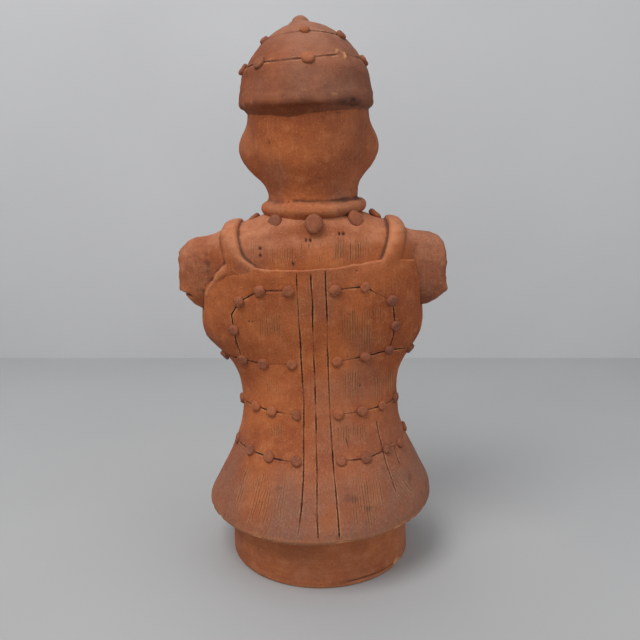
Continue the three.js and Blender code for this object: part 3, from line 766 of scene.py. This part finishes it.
def from_skin(form, points):
    """About how far points are outside a form's skin, straight out from it."""
    def straight_out(p):
        out = np.hypot(p[:, 0], p[:, 1])
        return out - form.reach(np.arctan2(p[:, 1], p[:, 0]), p[:, 2])
    step = 0.6
    here = straight_out(points)
    slope = [(straight_out(points + step * np.eye(3)[k]) - here) / step for k in range(3)]
    return here / np.sqrt(np.maximum(sum(s**2 for s in slope), 1))


SHOULDERS = Girth([
    [212, 86, 86, 40, 54, 2.6], [235, 88, 87.5, 44, 56, 2.6], [265, 88, 87.5, 49.6, 53, 2.6],
    [280, 87, 86.5, 47.8, 49, 2.6], [289, 80, 80, 44, 46, 2.5], [296, 64, 66, 42.5, 44, 2.2],
    [301, 48, 52, 41, 42, 2], [305, 38, 42, 38, 38, 2]])
STRAP_WIDE, STRAP_THICK = 16, 5.0
ARM_ENDS = {1: 111, -1: 113}
ARM_HEIGHT, ARM_TALL, ARM_DEEP = 256, 32, 23
LOST_PEBBLE = [-116, 8, 268]  # a stone has fallen out of the right arm's broken end here
ARM_SPLIT = 243  # height of the crack where the left arm's lower coil has come away
# Each strap: [side, middle below, middle above, flare inwards, flare outwards where it meets the plate]
STRAPS = [[1, 60.5, 66.5, 10, 12], [-1, -64.5, -71, 3, 3]]
# The left strap's clay was drawn out along the plate's edge: [across, height]
DRAWN_OUT = np.array([[60, 266], [69, 262.5], [77, 255.5], [83.5, 247.5], [87, 240]])


def crack_height(points):
    """How far points are above the left arm's crack."""
    x, y, z = points.T
    return z + 0.05 * (y - 5) + 0.02 * (x - 112) ** 2 - 0.12 * (x - 105) - ARM_SPLIT


def arm_solid(points, side):
    """One arm's stump, ending in a broken face."""
    x, y, z = points.T
    out = side * x
    above = z - ARM_HEIGHT
    tall = np.where(above > 0, above / (ARM_TALL - 0.13 * np.clip(out - 85, 0, 40)), -above / ARM_TALL)
    round_it = ((np.abs(y - 0.5) / ARM_DEEP) ** 2.3 + tall**2.3) ** (1 / 2.3)
    broken = worked(points, (1.3, 15, 30 + side), (0.8, 5, 33 + side))
    corner = 0.022 * np.clip(z - 268, 0, 40) ** 2 + 0.035 * np.clip(244 - z, 0, 30) ** 2
    if side > 0:
        fallen = 3.6 * smooth(0.8, -0.8, crack_height(points)) * smooth(84, 100, out)
    else:
        fallen = -2.2 * bump(z - 240, 4)
    end = out - ARM_ENDS[side] + corner + fallen - broken
    return np.maximum(trim((round_it - 1) * 25, end, 6.5), 50 - out)


def shoulder_solid(points):
    """The shoulders with both straps and arms, hollow inside."""
    x, y, z = points.T
    body = from_skin(SHOULDERS, points)
    whole = body
    for side, low_x, high_x, inwards, outwards in STRAPS:
        middle = low_x + (high_x - low_x) * smooth(264, 294, z)
        flare_in = inwards * smooth(279, 263.5, z) ** 1.7
        flare_out = outwards * smooth(272, 256, z) ** 1.5
        off = side * (x - middle)
        across = np.where(off > 0, off / (STRAP_WIDE / 2 + flare_out), -off / (STRAP_WIDE / 2 + flare_in))
        thick = STRAP_THICK * np.sqrt(1 - 0.96 * np.clip(across, 0, 1) ** 2)
        thick = thick * smooth(250, 262, z) * (0.66 + 0.34 * smooth(262, 276, z))
        edges = np.maximum(off - STRAP_WIDE / 2 - flare_out, -off - STRAP_WIDE / 2 - flare_in)
        strap = trim(body - thick, edges, 3)
        whole = blend(blend(whole, arm_solid(points, side), 4), strap, 1.8)
    coil = np.full(len(points), 50.0)
    ends = TRUNK.point(TRUNK.direction(DRAWN_OUT[:, 0], DRAWN_OUT[:, 1]), DRAWN_OUT[:, 1]) - [0, 2.2, 0]
    beside = np.flatnonzero((x > 50) & (y > 10) & (z > 232) & (z < 280))
    coil[beside] = np.abs(near_line(points[beside], ends, 12))
    coil -= 2.3 + 1.2 * lumps(points, 7, 28)
    whole = blend(whole, coil, 5)
    hollow = -(body + WALL)
    return np.maximum(np.maximum(trim(whole, hollow, 1), z - 305), 214 - z)


points, faces = skin_of(shoulder_solid, [-122, -62, 212.6], [122, 57, 308], 1.2)
x, y, z = points.T
behind = y > 0
on_arm = smooth(80, 90, np.abs(x))
COMBED_ABOVE = [
    [13, 33, 284, 267, 0, 0.8], [44, 47, 288, 268, 0, 0.9], [-9, 7, 285, 281, 0, 0.9],
    [4, 7.5, 284, 268, 0, 0.7], [-10, -7, 274, 268, 0, 0.8], [-19, -47, 288, 268, 0, 1.0]]
scraped, comb_force, tooth, stroke = comb(points, COMBED_ABOVE, behind & (np.abs(x) < 56), 19)
PRICKS = [[3.4, 286.5], [0.2, 286.4], [-22.8, 290.6], [-26, 290.4], [40, 281], [40, 275.5], [14, 268.5]]
holes = np.zeros(len(points))
for across, up in PRICKS:
    hit = (np.abs(x - across) < 3) & (np.abs(z - up) < 4) & behind
    holes = np.maximum(holes, hit * smooth(1.3, 0.4, np.hypot(x - across, (z - up) * 0.6)))
split = smooth(1.6, 0.5, np.abs(crack_height(points))) * smooth(97, 106, x)
socket = smooth(4.5, 1.5, np.linalg.norm(points - LOST_PEBBLE, axis=1))
raw = on_arm * smooth(100, 112, np.abs(x))
hand = worked(points, (0.5, 26, 34), (0.25, 9, 35), (0.08, 2.6, 36))
hand += on_arm * worked(points, (0.4, 7, 37), (0.2, 3, 38))
hand += raw * worked(points, (0.5, 6, 39), (0.2, 2.6, 40))
hand -= scraped + 0.6 * holes + 2.0 * split + 3.0 * socket
points = points + outward(points, faces) * hand[:, None]
marks = {
    "cut": np.clip(holes + 0.9 * split + socket, 0, 1),
    # Dust with painted top light lies full on the shoulders and less on the arms.
    "comb": comb_force, "tooth": tooth, "stroke": stroke, "top_dust_and_light": 1 - 0.7 * on_arm, "wear": 1 - 0.7 * raw,
    "chip": 0.2 * raw * smooth(0.3, 0.8, lumps(points, 5, 41)),
    # Painted shade on the right shoulder and arm, laid on with the smoke grey.
    "smoke_and_light": np.clip(0.45 * smooth(0, 0.7, lumps(points, 30, 42)) + 0.6 * smooth(-70, -95, x)
                     + 0.25 * on_arm * smooth(262, 285, z), 0, 1),
    "soot_and_shade": 0.4 * on_arm * smooth(0.62, 0.85, lumps(points, 2.6, 43)),
}
shoulders = clay_piece("shoulders_straps_and_arms", points, faces, marks, smoothed_clay)
fired_with_figure(shoulders)

# ---- Neck, necklace roll and head ---------------------------------------------------------------
# The head goes on upwards as the same hollow tube. Its ears are two side lobes pressed on, a thick
# roll of clay lies round the neck for the necklace's cord, and the face in front is plain and calm:
# a nose ridge and brows laid on, and almond slits for eyes and mouth cut through with a bamboo knife.

HEAD = Girth([
    [298, 41, 43, 40, 40, 2], [304, 38.5, 42, 39.5, 39.5, 2], [310, 36.5, 41, 39, 39, 2],
    [321, 34.5, 39.5, 37, 37, 2], [335, 40.3, 42.3, 41, 42, 2], [350, 45.5, 46.5, 45, 47, 2],
    [368, 48, 48.5, 47.5, 49.5, 2], [380, 49.3, 49.8, 48.4, 50, 2], [394, 48.5, 48.5, 48, 50, 2]])
EAR_HEIGHT, EAR_OUT = 357.8, 47.5
ROLL_HEIGHT, ROLL_MIDDLE, ROLL_ACROSS, ROLL_DEEP = 308.2, -3.1, 39.0, 38.2
ROLL_TOP = 316.4  # where the roll was pressed against the neck
EYE_HEIGHT, EYE_APART, EYE_HALF, EYE_OPEN = 366, 17.5, 8.2, 2.9
MOUTH_HEIGHT, MOUTH_HALF, MOUTH_OPEN = 337.5, 10.5, 2.3
MOUTH_CURVE = 0.01  # the corners turn up by this much of the square of their distance
NOSE_TIP, NOSE_ROOT = 352, 376
BROW_HEIGHT, BROW_ARCH = 377, 0.016
FACE = 48.5


def egg(points, middle, size):
    """About how far points are outside an egg of this half size."""
    share = (points - middle) / size
    far = np.linalg.norm(share, axis=1)
    slope = np.linalg.norm(share / size, axis=1)
    return far * (far - 1) / np.maximum(slope, 1e-6)


def almond(across, up, half, opening):
    """How far outside an almond-shaped slit."""
    share = np.clip(np.abs(across) / half, 0, 1.6)
    return (np.abs(up) - opening * (1 - share**2)) * 0.8


def head_solid(points):
    """The head with its ears, face and neck roll, hollow inside."""
    x, y, z = points.T
    body = from_skin(HEAD, points)
    whole = body
    for side in (1, -1):
        lobe = egg(points, [side * EAR_OUT, -1, EAR_HEIGHT], [10.2, 12, 13.5])
        lower = egg(points, [side * 42, -1, 348], [7.5, 11, 10])
        whole = blend(whole, blend(lobe, lower, 8), 13)
    rising = z - ROLL_HEIGHT - 1.6 * (x / ROLL_ACROSS) ** 2 + 0.01 * x
    roll = np.hypot(np.hypot((x - ROLL_MIDDLE) * ROLL_DEEP / ROLL_ACROSS, y) - ROLL_DEEP, rising * 0.95)
    whole = blend(whole, roll - 4.8 - 0.5 * lumps(points, 13, 49), 3)
    front = y < 0

    def laid_on(feature, soft):
        return np.where(front, blend(whole, feature, soft), whole)

    tip, root = np.array([0, -FACE - 4.6, NOSE_TIP]), np.array([0, -FACE - 0.6, NOSE_ROOT])
    up = np.clip((points - tip) @ (root - tip) / ((root - tip) @ (root - tip)), 0, 1)
    bridge = np.linalg.norm(points - tip - up[:, None] * (root - tip), axis=1) - 5.4 + 2.2 * up
    nose = trim(bridge, NOSE_TIP - 4.2 - z, 3)
    for side in (1, -1):
        wing = egg(points, [side * 5.4, -FACE - 1.6, NOSE_TIP - 0.6], [3.0, 4.2, 3.4])
        nose = blend(nose, wing, 3.5)
    whole = laid_on(nose, 3.5)
    arched = points + np.outer(BROW_ARCH * (np.abs(x) - EYE_APART) ** 2, [0, 0, 1])
    for side in (1, -1):
        brow = egg(arched, [side * (EYE_APART - 1), -FACE + 4.0, BROW_HEIGHT], [13.5, 4.9, 3.4])
        whole = laid_on(brow, 5)
        lid = egg(points, [side * EYE_APART, -FACE + 6.2, EYE_HEIGHT], [12, 6, 6.5])
        whole = laid_on(lid, 5)
    lips = egg(points, [0, -FACE + 5.6, MOUTH_HEIGHT], [12.5, 5.2, 5.5])
    chin = egg(points, [0, -39.5, 327], [13, 6.5, 7])
    whole = laid_on(lips, 5)
    whole = laid_on(chin, 7)
    slit = np.minimum(
        almond(np.abs(x) - EYE_APART, z - EYE_HEIGHT, EYE_HALF, EYE_OPEN),
        almond(x, z - MOUTH_HEIGHT - MOUTH_CURVE * x**2, MOUTH_HALF, MOUTH_OPEN))
    whole = np.where(y < -20, trim(whole, -slit, 1.2), whole)
    hollow = -(body + WALL)
    return np.maximum(np.maximum(trim(whole, hollow, 1), z - 393.5), 299.3 - z)


points, faces = skin_of(head_solid, [-62, -66, 298], [62, 52, 395], 1.05)
x, y, z = points.T
ear_crease = bump(np.abs(x) - 43.2, 2.6) * (y > 4) * smooth(342, 352, z) * smooth(378, 368, z)
hand = worked(points, (0.6, 30, 50), (0.35, 11, 51), (0.09, 3, 52))
hand += worked(points * [0.5, 0.5, 1], (0.3, 4.5, 53)) * smooth(319, 316.5, z)
hand += worked(points * [1, 1, 0.35], (0.22, 4, 54)) * smooth(320, 330, z)
neck_groove = bump(z - ROLL_TOP - 0.03 * np.abs(x) - 0.6 * lumps(points, 14, 55), 0.7)
neck_groove *= (np.hypot(x, y) > 33) * smooth(-0.1, 0.6, lumps(points * [1, 1, 0], 12, 56) - 0.01 * x)
outer = from_skin(HEAD, points) > -3
hand = np.where(outer, hand - 0.25 * ear_crease - 0.5 * neck_groove, 0.4 * hand)
points = points + outward(points, faces) * hand[:, None]
marks = {
    "cut": 0.3 * neck_groove * outer, "round": 1 - smooth(318, 326, z), "top_dust_and_light": 0.3,
    # Painted shade down the head's right side, laid on with the smoke grey.
    "smoke_and_light": np.clip(0.5 * smooth(0.1, 0.8, lumps(points, 26, 57)) + 0.3 * smooth(10, -45, x), 0, 1),
    # Besides real soot specks, this paints shade in the ear creases and the shadow under the helmet's rim.
    "soot_and_shade": np.clip(0.12 * ear_crease * (np.abs(x) > 40) + 0.25 * smooth(383, 388, z)
                    + 0.5 * smooth(0.72, 0.9, lumps(points, 3.5, 58)), 0, 1) * outer,
}
head = clay_piece("head_and_necklace_roll", points, faces, marks, smoothed_clay)
fired_with_figure(head)

# ---- The helmet ---------------------------------------------------------------------------------
# A domed cap of clay laid over the head, with a thick turned-down rim and a small knob pulled up on
# top. Two lines are cut round it, and studs sit on them. One stud behind has fallen off and left a
# pale scar. A greyish sheen is painted on the middle of the back, and shade down its right side.

HELMET = Girth([
    [379, 46, 45.5, 47, 47, 2], [384.5, 49, 48.4, 49.6, 49.6, 2], [387.6, 51.6, 50.6, 51.8, 51.8, 2],
    [389.8, 54.2, 53, 54.4, 54.4, 2], [393, 55.5, 54.2, 55.3, 55.3, 2],
    [401, 54.4, 53, 54, 54, 2], [411, 52.6, 51, 52, 52, 2], [417, 51.5, 49.5, 50.5, 50.5, 2],
    [422, 48, 47, 48, 48, 2], [434, 39.5, 39, 39.5, 39.5, 2], [443, 30, 30, 30, 30, 2],
    [450.5, 18, 18, 18, 18, 2], [454, 9, 9, 9, 9, 2], [455.4, 1, 1, 1, 1, 2]])
KNOB_ASIDE = 3.8
# The two lines round the helmet, from stud to stud: (direction in degrees, height)
LOWER_LINE = [
    (10, 419), (44.6, 421), (92.6, 422), (127, 425.5), (172, 423.4), (216, 422), (262, 420), (312, 419.5),
    (370, 419)]
UPPER_LINE = [(20, 440), (90.6, 444.5), (152, 441.8), (210, 442), (268, 443), (322, 441), (380, 440)]
FALLEN = 3  # which stud of the lower line is missing


def helmet_solid(points):
    """The dome with its knob and its rim, which stands out over the head."""
    x, y, z = points.T
    dome = from_skin(HELMET, points)
    knob = egg(points, [KNOB_ASIDE, 0, 452.2], [7.6, 7.6, 8.0])
    whole = blend(np.maximum(dome, z - 454.5), knob, 4)
    under = 388.2 - 0.8 * smooth(0, -40, x) - 0.8 * lumps(points * [1, 1, 0], 24, 60) - z
    ledge = trim(whole, blend(under, np.hypot(x, y) - 50 - 0.24 * (z - 380), 1.5), 1.6)
    return np.maximum(ledge, 379.6 - z)


points, faces = skin_of(helmet_solid, [-60, -60, 377.5], [61, 61, 463], 1.0)
helmet_lines = []
for line in (LOWER_LINE, UPPER_LINE):
    stops = [(math.radians(turn), up) for turn, up in line]
    helmet_lines.append(on_skin(HELMET, stops))
line_cut, line_force, beside = score(points, helmet_lines, 1.0, 150)
scar_at = HELMET.point(math.radians(LOWER_LINE[FALLEN][0]), LOWER_LINE[FALLEN][1])
from_scar = np.linalg.norm(points - scar_at, axis=1)
scar_ring = bump(from_scar - 3.6, 1.2) * smooth(-0.25, 0.35, lumps(points, 4, 61))
x, y, z = points.T
rim_marks = smooth(404, 398, z) * smooth(386, 392, z)
rim_flakes = smooth(0.55, 0.8, lumps(points * [0.5, 0.5, 1], 3.5, 67))
hand = worked(points, (0.55, 28, 62), (0.35, 11, 63), (0.1, 3, 65))
hand += worked(points * [0.4, 0.4, 1], (0.16, 3.5, 64))
hand += rim_marks * worked(points * [0.5, 0.5, 1], (0.5, 5, 66))
hand -= line_cut * smooth(2.5, 5, from_scar) - 0.9 * scar_ring
points = points + outward(points, faces) * hand[:, None]
smear = np.linalg.norm((points - [-34, 43, 390.5]) / [11, 14, 4.5], axis=1)
# A painted greyish sheen on the middle of the back, laid on with the smoke grey and the dust.
sheen_behind = bump(x + 2, 27) * (y > 0) * smooth(388, 398, z)
marks = {
    "cut": line_force * smooth(2, 5, from_scar), "beside": 0.62 * beside,
    "round": np.clip(rim_marks + smooth(425, 435, z), 0, 1),
    "top_dust_and_light": 0.1, "wear": 0.4, "haze_and_sheen": 0.35 * sheen_behind,
    "chip": np.clip(0.9 * scar_ring + 0.3 * rim_marks * rim_flakes, 0, 1),
    # Besides real smoke clouds: the painted sheen behind, and painted shade down the right side.
    "smoke_and_light": np.clip(0.85 * sheen_behind * (0.7 + 0.5 * lumps(points, 12, 68))
                     + 0.4 * smooth(0.1, 0.8, lumps(points, 24, 69))
                     + 0.5 * smooth(15, -45, x) + 0.3 * smooth(425, 450, z), 0, 1),
    "soot_and_shade": np.clip(0.9 * smooth(1.3, 0.4, smear) * smooth(-1.2, 0.1, lumps(points, 9, 70))
                    + 0.25 * smooth(0.72, 0.9, lumps(points, 3.2, 71)), 0, 1),
}
smoked_clay = low_fired_terracotta(
    "low_fired_terracotta_smoked", body="#8A4522", dark="#703619", pale="#A3633F", grain=0.6)
helmet = clay_piece("helmet", points, faces, marks, smoked_clay)
fired_with_figure(helmet)

# ---- Studs --------------------------------------------------------------------------------------
# Each rivet is a pinched pellet of the same clay, about 9 mm across, pressed onto the line while both
# were soft. The pellets dried first and took more smoke, so they are greyer than the plate.

PRESSED_FLAT = 1.7  # how square a pellet's side is


def pellet_tree():
    """Geometry Nodes that press one clay pellet on each point, by the point's own size and direction."""
    tree = bpy.data.node_groups.new("pressed_clay_pellets", "GeometryNodeTree")
    for name, kind, way in (
            ("Geometry", "NodeSocketGeometry", "INPUT"), ("Unevenness", "NodeSocketFloat", "INPUT"),
            ("Lump Size", "NodeSocketFloat", "INPUT"), ("Seed", "NodeSocketInt", "INPUT"),
            ("Clay", "NodeSocketMaterial", "INPUT"), ("Geometry", "NodeSocketGeometry", "OUTPUT")):
        tree.interface.new_socket(name, in_out=way, socket_type=kind)

    def maths(operation, *numbers):
        return add(tree, "ShaderNodeMath", dict(enumerate(numbers)), operation=operation).outputs[0]

    def carried(name):
        return add(
            tree, "GeometryNodeInputNamedAttribute", {"Name": name}, data_type="FLOAT_VECTOR").outputs[0]

    given = add(tree, "NodeGroupInput").outputs
    ball = add(tree, "GeometryNodeMeshUVSphere", {"Segments": 20, "Rings": 12, "Radius": 1.0})
    at = add(tree, "ShaderNodeSeparateXYZ", {0: add(tree, "GeometryNodeInputPosition").outputs[0]})
    pushed = maths("TANH", maths("MULTIPLY", at.outputs["Z"], PRESSED_FLAT))
    flat = add(tree, "ShaderNodeCombineXYZ", {"X": at.outputs["X"], "Y": at.outputs["Y"], "Z": pushed})
    pellet = add(tree, "GeometryNodeSetPosition", {
        "Geometry": ball.outputs["Mesh"], "Position": flat.outputs[0]})
    facing = add(tree, "FunctionNodeAlignRotationToVector", {"Vector": carried("outward")}, axis="Z")
    facing = add(tree, "FunctionNodeAlignRotationToVector", {
        "Rotation": facing.outputs[0], "Vector": carried("along")}, axis="Y", pivot_axis="Z")
    pressed = add(tree, "GeometryNodeInstanceOnPoints", {
        "Points": given["Geometry"], "Instance": pellet.outputs[0],
        "Rotation": facing.outputs[0], "Scale": carried("size")})
    real = add(tree, "GeometryNodeRealizeInstances", {"Geometry": pressed.outputs[0]})
    place_of = add(tree, "GeometryNodeInputPosition").outputs[0]
    shifted = add(tree, "ShaderNodeVectorMath", {0: place_of, 1: given["Seed"]}, operation="ADD")
    noise = add(tree, "ShaderNodeTexNoise", {
        "Vector": shifted.outputs[0], "Scale": given["Lump Size"], "Detail": 1.5})
    amount = maths("MULTIPLY", maths("SUBTRACT", noise.outputs["Fac"], 0.5), given["Unevenness"])
    normal = add(tree, "GeometryNodeInputNormal").outputs[0]
    push = add(tree, "ShaderNodeVectorMath", {0: normal, "Scale": amount}, operation="SCALE")
    uneven = add(tree, "GeometryNodeSetPosition", {"Geometry": real.outputs[0], "Offset": push.outputs[0]})
    soft = add(tree, "GeometryNodeSetShadeSmooth", {"Geometry": uneven.outputs[0]})
    again = add(tree, "GeometryNodeRealizeInstances", {"Geometry": soft.outputs[0]})
    dressed = add(tree, "GeometryNodeSetMaterial", {"Geometry": again.outputs[0], "Material": given["Clay"]})
    add(tree, "NodeGroupOutput", {"Geometry": dressed.outputs[0]})
    return tree


def press_pellets(name, tree, middles, out, along, sizes, values):
    """Presses pellets on points given in mm, and returns them as one plain mesh object."""
    holder = bpy.data.meshes.new(name + "_points")
    start, tip = place(middles), place(middles + out)
    holder.from_pydata(start.tolist(), [], [])
    aside = place(middles + along)
    for key, rows in (("outward", tip - start), ("along", aside - start), ("size", sizes * MM)):
        carried = holder.attributes.new(key, "FLOAT_VECTOR", "POINT").data
        carried.foreach_set("vector", rows.astype(np.float32).ravel())
    carrier = placed_object(name + "_points", holder)
    modifier = carrier.modifiers.new("pellets", "NODES")
    modifier.node_group = tree
    for item in tree.interface.items_tree:
        if item.in_out == "INPUT" and item.name in values:
            modifier[item.identifier] = values[item.name]
    graph = bpy.context.evaluated_depsgraph_get()
    mesh = bpy.data.meshes.new_from_object(carrier.evaluated_get(graph), depsgraph=graph)
    mesh.name = name
    bpy.data.objects.remove(carrier)
    return placed_object(name, mesh)


pellet_clay = low_fired_terracotta(
    "low_fired_terracotta_pinched_pellets", body="#9F5A39", dark="#7C4936", pale="#BE7F58", grain=0.9)
STUD_HALF, STUD_RISE, STUD_LIFT = 4.6, 2.5, 0.5
HELMET_STUD_HALF, CROWN_STUD_HALF = 4.9, 3.9
pellets = pellet_tree()
spots, out = [], []
for row in stud_rows:
    for turn, up in row:
        spots.append(TRUNK.point(turn, up))
        out.append(TRUNK.facing(turn, up))
on_helmet = [stop for k, stop in enumerate(LOWER_LINE[:-1]) if k != FALLEN] + UPPER_LINE[:-1]
for turn, up in on_helmet:
    spots.append(HELMET.point(math.radians(turn), up))
    out.append(HELMET.facing(math.radians(turn), up))
spots, out = np.array(spots), np.array(out)
varied = np.random.default_rng(5)
half = np.full(len(spots), STUD_HALF)
half[-len(on_helmet):] = HELMET_STUD_HALF
half[-len(UPPER_LINE) + 1:] = CROWN_STUD_HALF
half = half * varied.uniform(0.93, 1.07, len(spots))
sizes = [half * varied.uniform(0.95, 1.08, len(spots)), half]
sizes = np.stack(sizes + [STUD_RISE * varied.uniform(0.92, 1.1, len(spots))], 1)
spin = varied.normal(size=(len(spots), 3))
studs = press_pellets("studs", pellets, spots + STUD_LIFT * out, out, spin, sizes, {
    "Unevenness": 2.6 * MM, "Lump Size": 1 / (5 * MM), "Seed": 3, "Clay": pellet_clay})
fired_with_figure(studs)

# ---- Necklace pendants --------------------------------------------------------------------------
# Eight flattened drops of clay hang under the necklace roll, standing for curved beads. Each was
# rolled between the fingers and pressed onto the shoulder below the roll.

DROPS = 8
DROP_HALF = [7.3, 7.6, 3.4]
DROP_HEIGHT = 299.4
TILT_BEHIND, TILT_ASIDE = 10, 52  # degrees that a drop leans back onto the shoulder
turn = math.pi / 2 + 2 * math.pi * np.arange(DROPS) / DROPS + np.radians([0, 1, 2, 0, 3, 0, -2, 2])
aside = np.cos(turn) ** 2
tilt = np.radians(TILT_BEHIND + (TILT_ASIDE - TILT_BEHIND) * aside**1.5)
out = np.stack([np.cos(turn) * np.cos(tilt), np.sin(turn) * np.cos(tilt), np.sin(tilt)], 1)
along = np.stack([-np.cos(turn) * np.sin(tilt), -np.sin(turn) * np.sin(tilt), np.cos(tilt)], 1)
ring = np.stack([
    ROLL_MIDDLE + (ROLL_ACROSS + 6 + 6.5 * aside**2) * np.cos(turn), (ROLL_DEEP + 6.6) * np.sin(turn),
    DROP_HEIGHT + 1.6 * aside - 0.02 * ROLL_ACROSS * np.cos(turn)], 1)
varied = np.random.default_rng(8)
sizes = np.array(DROP_HALF) * varied.uniform(0.95, 1.05, (DROPS, 3))
sizes[:, 1:] *= 1 - 0.18 * aside[:, None] ** 2
pendants = press_pellets("necklace_pendants", pellets, ring, out, along, sizes, {
    "Unevenness": 1.6 * MM, "Lump Size": 1 / (7 * MM), "Seed": 9, "Clay": pellet_clay})
fired_with_figure(pendants)

# ---- Studio -------------------------------------------------------------------------------------
# The figure stands on a plain pale grey floor in front of a plain wall, in soft even light from
# large white panels: the main one high on its left, behind the viewer.

FLOOR_GREY, WALL_GREY = "#A7A8A9", "#C3C4C6"
WALL_BEHIND, WALL_HIGH = -0.604, 2
ROOM = 3.0


def matte_paint(name, grey, one_sided):
    """Matt emulsion paint, rolled on. It is even, with only a faint drift of tone."""
    material = blank_material(name)
    tree = material.node_tree
    spot = add(tree, "ShaderNodeTexCoord").outputs["Object"]
    drift = add(tree, "ShaderNodeTexNoise", {"Vector": spot, "Scale": 3.0, "Detail": 2.0})
    tone = add(tree, "ShaderNodeMapRange", {0: drift.outputs["Fac"], 1: 0.3, 2: 0.7, 3: 0.97, 4: 1.03})
    colour = {0: linear(grey)[:3], "Scale": tone.outputs[0]}
    colour = add(tree, "ShaderNodeVectorMath", colour, operation="SCALE")
    shader = add(tree, "ShaderNodeBsdfPrincipled", {"Base Color": colour.outputs[0], "Roughness": 0.85})
    surface = shader.outputs[0]
    if one_sided:
        clear = add(tree, "ShaderNodeBsdfTransparent").outputs[0]
        away = add(tree, "ShaderNodeNewGeometry").outputs["Backfacing"]
        surface = add(tree, "ShaderNodeMixShader", {0: away, 1: surface, 2: clear}).outputs[0]
    add(tree, "ShaderNodeOutputMaterial", {"Surface": surface})
    return material


def flat_panel(name, corner_points, paint):
    mesh = bpy.data.meshes.new(name)
    mesh.from_pydata(corner_points, [], [list(range(len(corner_points)))])
    mesh.materials.append(paint)
    return placed_object(name, mesh)


floor = flat_panel(
    "floor", [(-ROOM, -ROOM, 0), (ROOM, -ROOM, 0), (ROOM, ROOM, 0), (-ROOM, ROOM, 0)],
    matte_paint("painted_floor", FLOOR_GREY, False))
wall = flat_panel(
    "wall", [
        (ROOM, WALL_BEHIND, 0), (-ROOM, WALL_BEHIND, 0), (-ROOM, WALL_BEHIND, WALL_HIGH),
        (ROOM, WALL_BEHIND, WALL_HIGH)],
    matte_paint("painted_wall", WALL_GREY, True))
wall.visible_shadow = False

world = bpy.data.worlds.new("studio")
world.use_nodes = True
sky = world.node_tree.nodes["Background"].inputs
sky["Color"].default_value = (0.98, 0.99, 1.0, 1)
sky["Strength"].default_value = 0.57
bpy.context.scene.world = world


def light_panel(name, spot, aim, size, watts, tint):
    light = bpy.data.lights.new(name, "AREA")
    light.shape = "DISK"
    light.size = size
    light.energy = watts
    light.color = tint
    lamp = placed_object(name, light)
    lamp.location = spot
    lamp.rotation_euler = (Vector(aim) - Vector(spot)).to_track_quat("-Z", "Y").to_euler()


middle = (0, 0, cad_high.z / 2)
light_panel("main_panel", (0.55, 0.7, 1.55), middle, 0.9, 17, (1, 0.985, 0.96))
light_panel("side_panel", (-1.3, 0.7, 0.9), middle, 1.2, 3.5, (0.97, 0.98, 1))
light_panel("front_panel", (0.3, -0.5, 1.6), middle, 0.9, 3, (1, 1, 1))

EYE_AWAY, EYE_LEVEL = 0.606, 0.354
FOCAL_LENGTH = 40.05
LOOKING_DOWN = math.radians(13.25)
lens = bpy.data.cameras.new("camera")
lens.sensor_width = 36
lens.lens = FOCAL_LENGTH
lens.dof.use_dof = False
lens.clip_start = 0.02
camera = placed_object("camera", lens)
camera.location = (foot_middle, EYE_AWAY, EYE_LEVEL)
camera.rotation_euler = (math.pi / 2 - LOOKING_DOWN, 0, math.pi)
bpy.context.scene.camera = camera
bpy.context.scene.view_settings.view_transform = "Standard"
